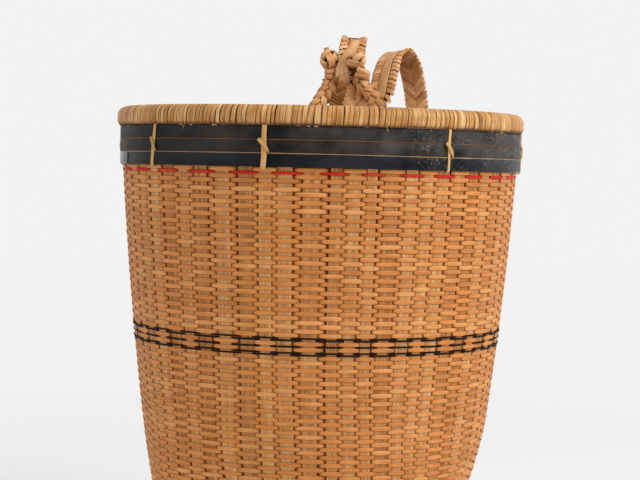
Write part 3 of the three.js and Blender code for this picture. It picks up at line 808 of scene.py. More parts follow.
def make_rim_ends(rng):
    """Cut ends of cane in the gap under the rim, in a few runs of bearings, and three loose fibres. A run
    is [first bearing, last bearing, count] in degrees, a fibre [bearing, how far it slants aside]."""
    runs = ((-28, -5, 12), (6, 26, 10), (60, 100, 7), (150, 230, 16), (270, 300, 8))
    bearing = np.radians(np.concatenate([rng.uniform(low, high, count) for low, high, count in runs]))
    count = len(bearing)
    t = np.linspace(-0.5, 0.5, 4)
    length = rng.uniform(2.0, 5.0, count)
    along = bearing[:, None] + t * length[:, None] / RIM_RADIUS
    out = HOOP_RADIUS + rng.uniform(-0.9, 0.3, (count, 1))
    z = RIM_BOTTOM + rng.uniform(0.2, 1.3, (count, 1)) + rng.normal(size=(count, 1)) * 1.2 * t
    size = rng.uniform(0.9, 1.7, (count, 1))
    ends = swept(round_axis(along, out, z), outward(along), band_section(size, 0.5 * size, 6))
    piece = Piece().add(ends, rng.uniform(0.4, 1, count))
    for at, slant in ((-24, -3.2), (31, 2.2), (196, 2.8)):
        t = np.linspace(0, 1, 8)
        along = math.radians(at) + slant * t / RIM_RADIUS
        out = HOOP_RADIUS + 0.6 + 1.6 * np.sin(t * 2.4)
        path = round_axis(along, out, RIM_BOTTOM + 2.6 - 6.5 * t)
        piece.add(swept(path, outward(along), band_section(0.55 - 0.3 * t, 0.3, 5)), 0.9)
    piece.make("rim_cane_ends", PALE_CANE, slot="pale_cane")


def hoop_section(height, thick, edge=0.55):
    """A flat hoop's section: a rectangle with its edges rounded over, [up, out]."""
    up, out = height / 2, thick / 2
    upper_half = [(up - edge, -out), (up, -out + edge), (up, out - edge), (up - edge * 0.35, out - 0.1),
                  (up - edge, out)]
    lower_half = [(-a, b) for a, b in upper_half[:0:-1]]
    return np.array([(-up + edge, -out), *upper_half, (0, out + 0.06), *lower_half])


def lapped_hoop(rng, radius, bottom, height, thick, lap_bearing, lap=30.0, wave=0.16):
    """A strip bent round into a hoop whose thinned end laps over its start: the radius rises over the
    lap by what is left of the strip's thickness. Its end is cut on a slant."""
    turn = np.linspace(-lap / radius, 2 * np.pi, 320)
    bearing = lap_bearing + turn
    over = smoothstep((turn - 2 * np.pi + lap / radius * 1.7) / (lap / radius * 0.9))
    under = np.clip(1 - (turn * radius + lap) / lap, 0, 1)
    thin = 1 - 0.5 * under - 0.42 * over
    waviness = ripples_round(rng, bearing, wave, (2, 3, 5, 8, 13))
    middle = radius - thick / 2 + waviness * 0.5 + over * thick * 0.6
    rise = ripples_round(rng, bearing, 0.08, (2, 3, 5))
    path = round_axis(bearing, middle, bottom + height / 2 + rise)
    up, out = hoop_section(height, thick).T
    section = np.stack(np.broadcast_arrays(up, out * thin[:, None]), -1)
    hoop = swept(path, outward(bearing), section)
    at_end = smoothstep(1 - (2 * np.pi - turn) * radius / 9)[:, None]
    slant = (hoop[..., 2] - bottom - height / 2) * 0.16 * at_end
    return hoop + slant[..., None] * onward(bearing)[:, None]


def make_hoops():
    """The three black hoops, with a thin cane filler in each seam between them, and the inner band."""
    rng = np.random.default_rng(8)
    laps = {"lower": math.radians(-54), "middle": math.radians(150), "upper": math.radians(215)}
    for name, lap_bearing in laps.items():
        low, high = node_box("black_hoop_" + name)
        hoop = lapped_hoop(rng, HOOP_RADIUS, low[2], high[2] - low[2], HOOP_THICK, lap_bearing)
        finish = BLUE_BLACK_LACQUER if name == "lower" else BLACK_LACQUER
        piece = Piece().add(hoop, rng.uniform())
        piece.make(f"black_hoop_{name}_strip", finish, replaces=["black_hoop_" + name], slot="black_lacquer",
                   sharp=40)
    for name, above, finish, height in (
        ("upper_seam", "black_hoop_upper", HOOP_CANE, 0.7),
        ("lower_seam", "black_hoop_middle", SEAM_CANE, 0.9),
    ):
        bottom = node_box(above)[0][2] - 0.2 - height / 2
        line = lapped_hoop(rng, HOOP_RADIUS + 0.12, bottom, height, 1.6, math.radians(165), wave=0.05)
        Piece().add(line, 0.6).make(name, finish, slot="hoop_cane")
    low, high = INNER_BAND
    band = Piece().add(lapped_hoop(rng, high[0], low[2], high[2] - low[2], BAND_THICK, math.radians(20)), 0.7)
    band.make("inner_band_strip", STAKE_CANE, replaces=["inner_band"], slot="hoop_cane", sharp=40)


HOOP_PITCH = 12.4  # a hoop's height and the gap over it
LASHING_WIDTHS = (4.3, 4.9, 2.8, 4.2)
LASHING_LEANS = (-4.5, -0.5, 0, 0)  # how far each runs aside on its way down, along the rim


def lashing_strip(rng, size, lean):
    """A lashing at bearing 0: down the hoops' face, in through the wall under them and up the inner
    band, in the plane of [out, up], with a slight sideways wander."""
    out = HOOP_RADIUS + 0.75
    inside = INNER_BAND[1][0] - BAND_THICK - 0.8
    low = BAND_BOTTOM - 1.2
    places, at = evenly(np.array([
        (out - 1.2, RIM_BOTTOM + 3), (out, RIM_BOTTOM - 1), (out + 0.1, RIM_BOTTOM - 12),
        (out, BAND_BOTTOM + 12), (out, BAND_BOTTOM + 2), (out - 0.9, low), (out - 4, low - 0.4),
        (inside + 3, low - 0.3), (inside + 0.4, low + 1.0), (inside, BAND_BOTTOM + 5),
        (inside, BAND_BOTTOM + 20), (inside, RIM_BOTTOM - 2), (inside + 1.2, RIM_BOTTOM + 3),
    ]), 48)
    wander = ripple(rng, at, 0.5, 11) + ripple(rng, at, 0.35, 5.3)
    out, up = places.T
    down = np.clip((RIM_BOTTOM - up) / (RIM_BOTTOM - BAND_BOTTOM), 0, 1)
    path = np.stack([wander + lean * (down - 0.35), -out, up], -1)
    lift = unit(np.cross(tangents(path), [-1.0, 0, 0]))
    return swept(path, lift, band_section(size + ripple(rng, at, 0.25, 7), 1.2, 8, 0.6))


def hitch_strip(rng):
    """The lashing's own end, laid slantwise over it from the upper left to the lower right: it dips
    under at its start, rises over the strip by a cosine hump and tapers to a point."""
    length, width, hump = 15.5, 3.7, 1.25
    t = np.linspace(0, 1, 18)
    slope = math.radians(35 + rng.normal() * 4)
    along = (t - 0.5) * length
    x = along * np.sin(slope) + 0.6 * np.sin(np.pi * t)
    z = BAND_BOTTOM + HOOP_PITCH + 6.6 - along * np.cos(slope)
    out = HOOP_RADIUS + 1.0 + hump * np.cos(np.clip((t - 0.45) / 0.5, -1, 1) * np.pi / 2) ** 0.6
    path = np.stack([x, -out, z], -1)
    width = width * np.clip(np.minimum((t + 0.12) / 0.16, (1.03 - t) / 0.36), 0.12, 1) ** 0.7
    return swept(path, outward(0.0), band_section(width, 1.1, 8, 0.6))


def turned_round(points, bearing):
    """Points turned about the basket's upright axis."""
    c, s = math.cos(bearing), math.sin(bearing)
    return points @ np.array([[c, s, 0], [-s, c, 0], [0, 0, 1]])


def make_lashings():
    """Each lashing with its hitch, at the bearing of its place in the frame."""
    rng = np.random.default_rng(31)
    for place, name in enumerate(sorted(n for n in frame["nodes"] if n.startswith("lashing_"))):
        low, high = node_box(name)
        x, y = (low + high)[:2] / 2
        bearing = math.atan2(x, -y)
        piece = Piece()
        kind = place % len(LASHING_WIDTHS)
        for strip in (lashing_strip(rng, LASHING_WIDTHS[kind], LASHING_LEANS[kind]), hitch_strip(rng)):
            piece.add(turned_round(strip, bearing), rng.uniform(), start=rng.uniform(0, 500))
        piece.make(name + "_cane", PALE_CANE, replaces=[name], slot="pale_cane")


# Base and foot


def make_base():
    """The plaited base: strips both ways that pass over and under each other by a flattened wave, each
    ending on the outline where it turns up into a stake."""
    rng = np.random.default_rng(17)
    half_count = STAKES_A_SIDE // 2
    pitch = 2 * BASE_HALF / STAKES_A_SIDE
    piece = Piece()
    for direction in range(2):
        for k in range(-half_count, half_count + 1):
            centre = k * pitch
            reach = (BASE_HALF ** BASE_POWER - abs(centre) ** BASE_POWER) ** (1 / BASE_POWER) - 1.6
            x = np.linspace(-reach, reach, 2 * STAKES_A_SIDE * 3 + 1)
            wave = np.tanh(2 * np.cos(np.pi * (x / pitch + k + direction))) / np.tanh(2)
            z = MAT_TOP / 2 + 0.1 + 0.85 * wave
            side = np.full_like(x, centre)
            path = np.stack([x, side, z] if direction == 0 else [side, x, z], -1)
            section = band_section(pitch - 1.1 + rng.normal() * 0.3, 1.25, 10, 0.45)
            piece.add(swept(path, UP, section), rng.uniform(), start=rng.uniform(0, 2000))
    piece.make("base_plait", STAKE_CANE, replaces=["base_mat"], slot="woven_cane")


def make_foot():
    """The foot's winding: closed turns side by side round the foot hoop. A turn's way is a rounded
    rectangle, |a|^4 + |b|^4 = 1, in the plane that stands out from the wall."""
    rng = np.random.default_rng(41)
    clear = 0.6  # from the wall, and between a turn's middle and its outer face
    depth, height = FOOT_OUT - BASE_HALF - clear, FOOT_TOP
    a, b = squared_turn(np.arange(16) / 16 * 2 * np.pi, 0.5)
    a, b = a * (depth / 2 - clear), b * (height / 2 - clear)
    fine = np.linspace(0, 2 * np.pi, 4001)
    ring = round_wall(fine, 6.0, depth / 2)
    length = travelled(ring)
    widths = turn_widths(rng, length[-1], lambda share: 5.0, 0.2)
    turns = len(widths)
    middle = np.interp(np.cumsum(widths) - widths / 2, length, fine)
    radial = outline(0.0, middle)[:, None] + clear + depth / 2 + a
    bearing = middle[:, None] + b / height * 1.4 / radial
    radius = radial + rng.normal(size=(turns, 1)) * 0.1
    path = round_axis(bearing, radius, height / 2 + b)
    lift = unit(np.cross(tangents(path, ring=True), onward(bearing)))
    # Where the wall isn't square to its radius, the turns lie aslant and are narrower by that much
    reach = np.hypot(ring[:, 0], ring[:, 1])
    aslant = np.sqrt(1 + (np.gradient(reach, fine) / reach) ** 2)
    width = (widths - rng.uniform(0.15, 0.5, turns)) / np.interp(middle % (2 * np.pi), fine, aslant)
    winding = swept(path, lift, band_section(width[:, None], 1.1, 6, 0.55), ring=True)
    tone, start = rng.uniform(size=turns), rng.uniform(0, 900, turns)
    piece = Piece().add(winding, tone, ring=True, start=start)
    piece.make("foot_winding", RIM_CANE, replaces=["foot_wrap"], slot="pale_cane")


# Straps

# Each strap hangs from its top end over the rim and swings about the line from there to its eye. Its
# side is -1 on the wearer's left, and its knots sit on the plait's face that looks in (-1) or out (1).
# Path points are [out, up] from that line's foot, the leaf's are [out from the rim's face, up from the
# top end], and a braid's are [from the leaf's edge, out from the rim's face, up from the top end].
# Bow is [out, share of the way up the line] and arch is [depth, rise] from the top end. Crown is how high
# the plait's edges stand on the arch, and roll tips it sideways there. Splay turns the swinging part about
# its line, and loose is how much narrower the strands can lie at one edge.
# Sway moves the plait's middle across, share is its width's share of the usual one and shade darkens its
# inner face, each at [distance along from the top end, value]. The strip has [distance, across, width,
# out], and from even_from down its points lie an even distance apart.
# A shift is [along the rim, up] from a part's CAD place, and lean tips the flat knot's collar.
STRAPS = {
    "left": dict(
        side=-1, knots_face=-1, top_bearing=184.2, standoff=14, rise=76, splay=20, arch=(62, 16), crown=6.6,
        pitch=4.5, roll=0.1, loose=0.2,
        sway=[(-70, 4), (-45, 1.5), (-28, 0), (-8, -4), (12, -2.5), (28, -1), (42, 3.5), (74, 6), (96, 0),
              (118, -4), (132, 4), (146, 9), (190, 5), (240, 0)],
        share=[(-66, 1.25), (-54, 0.9), (-46, 0.64), (-33, 0.62), (-22, 0.92), (-10, 1.08), (8, 1),
               (26, 0.86), (50, 0.86), (80, 1), (190, 1)],
        shade=[(10, 0), (30, 0.3), (70, 0.6), (160, 0.65), (220, 0.3), (260, 0)],
        strip=[(-39, -6, 3, 3.6), (-36, -6.5, 4, 4.2), (-35.7, -8.5, 8, 4.6), (-32, -9, 9.5, 4.8),
               (-31.7, -11, 13.5, 5), (-28, -11.2, 14.5, 5), (-27.7, -12, 16.5, 5), (-23, -12, 15, 5),
               (-18, -11, 13, 4.4), (-11, -7, 11.5, 3.6), (-3, -1, 10.8, 2.9), (8, 1.6, 10.4, 2.6),
               (20, 1, 10, 2.6), (60, 0, 10, 2.6)],
        even_from=-25.7, knob_shift=(-4.0, 1.8), flat_shift=(-1.4, 2.6), knob_collar_shift=(1, -0.2),
        flat_collar_shift=(-6.6, 1.6), lean=0.34,
        bow=[(65, 0.88), (72, 0.74), (74, 0.6), (68, 0.47), (54, 0.365)],
        leaf=[(12.5, -20), (9, -48), (6.6, -73), (6.2, -110), (4.6, -137), (-3, -151), (-17, -160)],
        knob_braid=[(11, 11, -54), (21, 7.6, -74), (22, 7.4, -110), (21, 5.5, -138), (20, -5, -152),
                    (19, -19, -160)],
        flat_braid=[(4, 7.6, -54), (10, 7.4, -74), (10, 7.4, -110), (8, 5.5, -138), (7, -5, -152),
                    (6, -19, -160)],
    ),
    "right": dict(
        side=1, knots_face=1, top_bearing=176.7, standoff=28, rise=8, splay=-14, arch=(94, 76.6), crown=2.4,
        pitch=5.4, roll=0.0, loose=0.24,
        sway=[(-38, -8), (0, -8), (9, -6.5), (20, -0.5), (36, 3), (60, 5.5), (98, 6.5), (125, 5), (150, 2.5),
              (196, -1.5), (240, 0)],
        share=[(-30, 0.64), (0, 0.66), (10, 0.84), (20, 1.08), (50, 1.12), (80, 1), (200, 1)],
        shade=[(50, 0), (80, 0.5), (125, 0.6), (150, 0.2), (170, 0.0), (240, 0)],
        strip=[(-30, 0, 0.8, 2.2), (-28, 0, 4, 2.6), (-24, 0, 7, 2.6), (-19, 0, 10, 2.6), (20, 0, 10, 2.6)],
        even_from=-17, knob_shift=(0, 0), flat_shift=(0, 0), knob_collar_shift=(0, 0),
        flat_collar_shift=(0, 0), lean=0.0,
        bow=[(95, 0.86), (93, 0.74), (86, 0.62), (74, 0.51), (56, 0.41)],
        leaf=[(27.4, -8), (26.8, -22), (26.4, -38)],
        knob_braid=[(5, 25, -56), (4, 15, -84), (2, 5, -102), (1, -6, -111), (0, -19, -117)],
        flat_braid=[(-7.5, 34, -56), (-9, 23, -82), (-10, 9, -101), (-11, -5, -111), (-12, -19, -117)],
    ),
}
TAIL_PATH = np.array([(0, -3.7), (0, 24), (8, 54), (21, 84), (29, 104)])
PLAIT_WIDTH = 29
GATHERED = 46  # the length of the plait's lower end that narrows into the tail
ARCH_REACH = 45  # how far from the arch's crown its edges still stand up
BRAID_RADIUS = 5.5
BRAID_LAP = 4  # how far a braid lies over the leaf's edge
COLLAR_RADIUS, COLLAR_HEIGHT = 7.4, 10.5
KNOB_RADIUS, KNOB_HEIGHT = 10, 22
FLAT_KNOT = np.array([11, 6.5, 9])
KNOT_INSET = 12  # how far the flat knot lies in from its braid, over the leaf
TAIL_RADIUS = 4.5
TAIL_KNOT = np.array([8, 8, 7.5])
EYE_STANDOFF, EYE_PLAY, EYE_CANE_RADIUS = 14, 0.9, 2.2


def smooth_path(points, step):
    """A curve through points of any dimension, resampled at an even step: cubic pieces whose slope at a
    point is the mean of its two chords, each weighted by the other chord's length."""
    points = np.asarray(points, float)
    chord = np.linalg.norm(np.diff(points[:, :3], axis=0), axis=1)
    at = np.concatenate([[0], np.cumsum(chord)])
    slope = np.diff(points, axis=0) / chord[:, None]
    inner = (slope[:-1] * chord[1:, None] + slope[1:] * chord[:-1, None]) / (chord[1:] + chord[:-1])[:, None]
    slopes = np.concatenate([slope[:1], inner, slope[-1:]])
    fine = np.linspace(0, at[-1], int(at[-1] / 0.5) + 2)
    k = np.clip(np.searchsorted(at, fine, side="right") - 1, 0, len(chord) - 1)
    t, span = ((fine - at[k]) / chord[k])[:, None], chord[k][:, None]
    curve = (
        (2 * t ** 3 - 3 * t ** 2 + 1) * points[k] + (t ** 3 - 2 * t ** 2 + t) * span * slopes[k]
        + (3 * t ** 2 - 2 * t ** 3) * points[k + 1] + (t ** 3 - t ** 2) * span * slopes[k + 1]
    )
    length = travelled(curve[:, :3])
    return between(np.linspace(0, length[-1], int(length[-1] / step) + 2), length, curve)


class Strap:
    """Where a strap's parts lie: its hanger's own frame at the top end, and the frame that swings."""

    def __init__(self, name):
        self.name, self.sizes = name, STRAPS[name]
        sizes = self.sizes
        joint = next(j for j in frame["joints"] if j["name"] == name + "_strap_swing")
        self.eye = np.array(joint["pos_m"]) / MM
        axis = np.array(joint["axis"])
        self.line = axis * np.sign(axis[2])
        bearing = math.radians(sizes["top_bearing"])
        out = RIM_RADIUS + sizes["standoff"]
        self.top = np.array([out * math.sin(bearing), -out * math.cos(bearing), HEIGHT + sizes["rise"]])
        self.length = np.linalg.norm(self.top - self.eye)
        hang = bearing - math.pi
        self.hang_x = np.array([math.cos(hang), math.sin(hang), 0])
        self.hang_y = np.array([-math.sin(hang), math.cos(hang), 0])
        sideways = unit(np.cross([0, 1.0, 0], self.line))
        away = np.cross(self.line, sideways)
        c, s = math.cos(math.radians(sizes["splay"])), math.sin(math.radians(sizes["splay"]))
        self.swing_x = sideways * c + away * s
        self.swing_y = away * c - sideways * s

    def hung(self, x, y, z):
        """A point of the hanger's frame: x along the rim, y out from it, z up from the top end."""
        x, y, z = (np.asarray(v, float)[..., None] for v in (x, y, z))
        return self.top + x * self.hang_x + y * self.hang_y + z * UP

    def swung(self, out, up, across=0.0):
        """A point of the swinging frame: out from the hinge line, up it from the eye, and across."""
        out, up, across = (np.asarray(v, float)[..., None] for v in (out, up, across))
        return self.eye + out * self.swing_y + up * self.line + across * self.swing_x

    def leaf_out(self, z):
        """How far out the leaf lies in the hanger's frame, at a height of it."""
        leaf = np.array([(self.sizes["standoff"], 0)] + self.sizes["leaf"], float)[::-1]
        return np.interp(z, leaf[:, 1], leaf[:, 0]) - self.sizes["standoff"]


class Band:
    """The plait's middle line from the leaf's foot over the arch to the tail, with its way across and
    its outer face's normal at each millimetre. The way across turns from the hanger's to the swing's."""

    def __init__(self, strap):
        self.sizes = sizes = strap.sizes
        leaf = np.array(sizes["leaf"][::-1], float)
        depth, rise = sizes["arch"]
        turn = np.linspace(0, np.pi, 7)
        arch = strap.swung(depth / 2 * (1 - np.cos(turn)), strap.length + rise * np.sin(turn))
        bow = np.array([(out, share * strap.length) for out, share in sizes["bow"]])
        before_tail = 2 * TAIL_PATH[-1] - TAIL_PATH[-2]
        lower = np.array([*bow, before_tail, TAIL_PATH[-1]])
        hanging = strap.hung(0, leaf[:, 0] - sizes["standoff"], leaf[:, 1])
        places = np.concatenate([hanging, arch, strap.swung(lower[:, 0], lower[:, 1])])
        swung = np.clip((np.arange(len(places)) - len(leaf) + 1) / 3, 0, 1)[:, None]
        across = unit(strap.hang_x * (1 - swung) + strap.swing_x * swung)
        line = smooth_path(np.concatenate([places, across], 1), 1.0)
        place, across = line[:, :3], line[:, 3:]
        self.at = travelled(place)
        self.length = self.at[-1]
        top = np.argmin(np.linalg.norm(place - strap.top, axis=1))
        self.top_at = self.at[top]
        self.crown_at = self.at[top + np.argmax(place[top:top + 160, 2])]
        self.crown = sizes["crown"]
        self.place = place + self.given("sway", self.at)[:, None] * across
        self.way = tangents(self.place)
        roll = sizes["roll"] * np.exp(-((self.at - self.crown_at) / 30) ** 2)
        across = across + roll[:, None] * UP
        self.across = unit(across - (across * self.way).sum(1, keepdims=True) * self.way)
        self.normal = np.cross(self.across, self.way)

    def given(self, name, s):
        """A value that the strap's sizes give along the plait, from its top end."""
        return np.interp(s - self.top_at, *np.array(self.sizes[name], float).T)

    def frame_at(self, s):
        """The middle line's point, its way across and its outer face's normal, s along it."""
        return [between(s, self.at, values) for values in (self.place, self.across, self.normal)]

    def near_crown(self, s):
        """1 at the arch's crown, and exp(-(d / reach)^2) at a distance d from it along the plait."""
        return np.exp(-((s - self.crown_at) / ARCH_REACH) ** 2)

    def gathered(self, s):
        """0 down to where the plait starts to narrow, and from there growing smoothly to 1 at its end."""
        return smoothstep((s - self.length + GATHERED) / GATHERED)

    def point(self, s, x, y):
        """The point at s along, x across and y out of the outer face. Over the arch the edges stand up:
        y grows by the crown's height times the square of x over half the width."""
        place, across, normal = self.frame_at(s)
        up = self.crown * self.near_crown(s) + 0.5
        x = x * (1 - 0.55 * self.gathered(s))
        y = y + up * ((x / (PLAIT_WIDTH / 2)) ** 2 - 0.4)
        return place + x[..., None] * across + y[..., None] * normal


def make_plait(strap, band, rng):
    """The plait. From both edges, at each pitch, a strand comes out under the centre strip, bends round
    the edge and lies slantwise over the back to past the middle. On the leaf it slants on both faces.
    The path is a hairpin [across, depth]: two straights joined by a half turn at the edge. Its points
    are three on the face, four round the edge and five over the back. The fall is how far down the plait
    each lies from where the strand starts. The strands have painted shade on the inner face and under the
    centre strip, and a core painted dark as shade fills the plait."""
    pitch = strap.sizes["pitch"]
    step = np.arange(2.0, band.length - 3, pitch)
    s0 = np.concatenate([step, step + pitch / 2])
    strands = len(s0)
    each = lambda spread: rng.normal(size=(strands, 1)) * spread
    side = np.repeat([1.0, -1.0], len(step))
    strip_foot = band.top_at + strap.sizes["strip"][0][0]
    slanted = smoothstep((strip_foot + 10 - s0) / 8)[:, None]  # 1 on the leaf, 0 beside the centre strip
    edge = PLAIT_WIDTH / 2 - 2.2
    bend, dip = 1.55, 0.95  # the half turn's radius, and how deep a strand's two ends lie
    turn = np.linspace(np.pi / 2, -np.pi / 2, 4)
    inner = 3.4 * (1 - slanted) - 1.6 * slanted  # where the face starts, from the plait's middle
    front = inner + (edge - inner) * np.array([0, 0.33, 0.72])
    back = np.linspace(edge, -1.8, 6)[1:]
    round_edge = np.concatenate([edge + bend * np.cos(turn), back])
    x = np.concatenate([front, np.tile(round_edge, (strands, 1))], 1)
    front_y = bend - dip * np.array([1, 0.25, 0]) + 0.25
    back_y = -bend + dip * np.array([0, 0, 0, 0.2, 1]) - 0.2
    y = np.concatenate([front_y, bend * np.sin(turn), back_y]) + each(0.12)
    drooping = 1.7 * np.sin(np.pi * (front - 2) / 13) + 0.6 - 1.6 * (front - inner) / (edge - inner)
    front_fall = -(edge - front) * slanted + (1 - slanted) * drooping
    turned = np.linspace(0.1, -0.6, 4) - (1 - slanted)
    back_fall = (edge - back) * 0.92 - 1.2 * (1 - slanted) - 0.6
    fall = np.concatenate([front_fall, turned, back_fall], 1) + each(0.2)
    lean = np.concatenate([np.full(3, np.pi / 2), turn, np.full(5, -np.pi / 2)])
    s = np.clip(s0[:, None] + fall, 0.2, band.length - 0.2)
    path = band.point(s, x * side[:, None] * band.given("share", s), y)
    _, across, normal = band.frame_at(s)
    lift = (np.cos(lean) * side[:, None])[..., None] * across + np.sin(lean)[:, None] * normal
    width = pitch * np.array([0.86, 0.98, 1.04, 1.0, 0.92, 0.88, 0.86, 0.86, 0.82, 0.8, 0.76, 0.6])
    loose = strap.sizes["loose"] * (side > 0) * rng.uniform(0.6, 1.2, strands)
    width = width * (1 + each(0.06))
    width *= 1 - loose[:, None] * np.array([0, 0.25, 0.7, 1, 1, 1, 0.8, 0.3, 0, 0, 0, 0])
    # Painted shade: on the inner face by the strap's shade, and at a strand's start under the centre strip
    inside = np.array([0.25, 0, 0, 0, 0.2, 0.5, 0.8, 1, 1, 1, 1, 1])
    under_strip = np.array([0.35] + [0] * 11)
    hollow = np.maximum(inside * band.given("shade", s), under_strip)[..., None]
    strips = swept(path, lift, band_section(width, 1.05, 8, 0.4))
    tone, start = rng.uniform(0.1, 1, strands), rng.uniform(0, 900, strands)
    piece = Piece().add(strips, tone, start=start, hollow=hollow)
    # A core painted dark as shade fills the plait
    middle = np.arange(1.0, band.length - 1, 3.0)
    place, _, normal = band.frame_at(middle)
    core = 21.0 * band.given("share", middle) * (1 - 0.5 * band.gathered(middle))
    piece.add(swept(place, normal, band_section(core, 1.7, 8, 0.5)), 0.0, hollow=0.8)
    return piece.make(strap.name + "_plait", STRAP_CANE, body=None,
                      replaces=[strap.name + "_leaf", strap.name + "_strap_plait"], slot="strap_cane")


def make_centre_strip(strap, band):
    """The smooth strip down the outer face's middle. Its end on the leaf narrows in steps to an arrow's
    tip, its width waves a little, and over the arch it hollows as the plait does."""
    given = np.array(strap.sizes["strip"], float)
    last = given[-1, 0]
    near = np.arange(strap.sizes["even_from"], last, 2.0)
    far = np.arange(last + 3, band.length - band.top_at - 4, 3.0)
    steps = np.unique(np.concatenate([given[:, 0], near, far]))
    s = steps + band.top_at
    across, width, out = between(steps, given[:, 0], given[:, 1:]).T
    width = width * (1 - 0.5 * band.gathered(s)) + (0.5 * np.sin(s / 9.1) + 0.35 * np.sin(s / 4.3))
    _, _, normal = band.frame_at(s)
    section = band_section(np.maximum(width, 0.6), 1.2, 12, 0.5)
    section[..., 1] += band.crown * 0.5 * band.near_crown(s)[:, None] * (section[..., 0] / 14) ** 2
    strip = Piece().add(swept(band.point(s, across, out), normal, section), 0.55)
    return strip.make(strap.name + "_centre_strip", STRIP_CANE, body=None,
                      replaces=[strap.name + "_strap_strip"], slot="strap_strip")


def braid(piece, path, flat, width, thick, pitch, strand, rng, count=3, shingle=0.0):
    """A plait of an odd count along a path, flat side out, each strand [width, thickness]. Strand k lies
    a asin(0.96 sin(p)) / asin(0.96) across, an evened wave, and b tanh(1.6 sin(2p)) / tanh(1.6) out of the
    flat side, with p = 2 pi (s / pitch + k / count), so that it is on top on its way outward. Its lift
    leans with that curve, and back along the path by the shingle."""
    line = smooth_path(path, pitch / 16 * 3 / count)
    at = travelled(line)
    way = tangents(line)
    normal = unit(flat - (way * flat).sum(1, keepdims=True) * way)
    across = np.cross(way, normal)
    half, rise = (width - strand[0] * 0.7) / 2, (thick - strand[1]) / 2
    phase = rng.uniform(0, 2)
    for k in range(count):
        p = 2 * np.pi * (at / pitch + k / count) + phase
        x = half * np.arcsin(0.96 * np.sin(p)) / np.arcsin(0.96)
        y = rise * np.tanh(1.6 * np.sin(2 * p)) / np.tanh(1.6)
        lift = normal + across * (x / half)[:, None] * 0.4 - shingle * np.sign(y)[:, None] * way
        curve = line + x[:, None] * across + y[:, None] * normal
        section = band_section(strand[0] * (1 - 0.12 * np.cos(2 * p)), strand[1], 8, 0.42)
        # Painted shade where a strand lies under the others
        under = smoothstep(0.4 - y / rise)[None, :, None]
        tone, start = rng.uniform(0.15, 1), rng.uniform(0, 900)
        piece.add(swept(curve, lift, section), tone, start=start, hollow=under * 0.6)


def knot(piece, centre, axes, radii, strand, rng, swell=0.75, reach=0.92):
    """A knot of one strand woven round a ball: it goes three times round with its latitude
    reach * sin(4/3 of the way round), and rises and falls by sin(8/3 of it). It has painted shade where
    the strand dips under, and a ball painted dark as shade fills it."""
    steps = 132
    u = np.arange(steps) / steps * 6 * np.pi
    p = 4 * u / 3
    latitude = reach * np.sin(p)
    way_out = np.stack([np.cos(latitude) * np.cos(u), np.cos(latitude) * np.sin(u), np.sin(latitude)], -1)
    size = np.asarray(radii, float) - strand[1] / 2
    lift = unit(way_out / size)
    path = way_out * size + lift * (swell * np.sin(2 * p))[:, None] - lift * swell * 0.4
    section = band_section(strand[0] * (1 - 0.1 * np.abs(np.sin(p))), strand[1], 8, 0.6)
    # Painted shade where the strand dips under
    under = smoothstep(0.2 - np.sin(2 * p))[None, :, None]
    strip = swept(path @ axes + centre, lift @ axes, section, ring=True)
    tone, start = rng.uniform(0.3, 0.9), rng.uniform(0, 900)
    piece.add(strip, tone, ring=True, start=start, hollow=under * 0.7)
    # A ball painted dark as shade fills the knot
    t = np.linspace(0.06, np.pi - 0.06, 9)[:, None]
    v = (np.arange(14) / 14 * 2 * np.pi)[None]
    ball = np.stack(np.broadcast_arrays(np.sin(t) * np.cos(v), np.sin(t) * np.sin(v), np.cos(t)), -1)
    piece.add((ball * (size - 1.1 - swell * 0.6)) @ axes + centre, 0.0, hollow=1.0)


def wound_collar(piece, foot, axis, radius, height, turns, rng):
    """A collar of rounded bands wound round: each is a ring, a little out of level with the next."""
    axis = unit(np.asarray(axis, float))
    side = unit(np.cross(axis, [0.3, 0.9, 0.2]))
    other = np.cross(axis, side)
    u = np.arange(28) / 28 * 2 * np.pi
    out = np.cos(u)[:, None] * side + np.sin(u)[:, None] * other
    each = height / turns
    for k in range(turns):
        up = each * (k + 0.5) + ripple(rng, u, 0.7)
        path = foot + out * (radius - 1.3 + rng.normal() * 0.25) + up[:, None] * axis
        ring = swept(path, out, band_section(each * 1.08, 2.9, 10, 0.75), ring=True)
        tone, start = rng.uniform(0.3, 1), rng.uniform(0, 900)
        piece.add(ring, tone, ring=True, start=start)
    # A core painted dark as shade fills the collar
    core = foot + np.linspace(-0.2, height + 0.2, 4)[:, None] * axis
    piece.add(swept(core, side, band_section(radius * 1.4, radius * 1.4, 14, 1)), 0.0, hollow=0.6)


def strip_end(piece, base, way, lift, length, width, rng):
    """A cut strand's end that stands out of a knot, curling a little."""
    t = np.linspace(0, 1, 7)
    way, lift = unit(np.array(way, float)), unit(np.array(lift, float))
    path = base + (t * length)[:, None] * way + (1.2 * t ** 2)[:, None] * lift
    section = band_section(width * (1 - 0.12 * t), 1.3, 8, 0.5)
    piece.add(swept(path, lift, section), rng.uniform(0.3, 0.8))


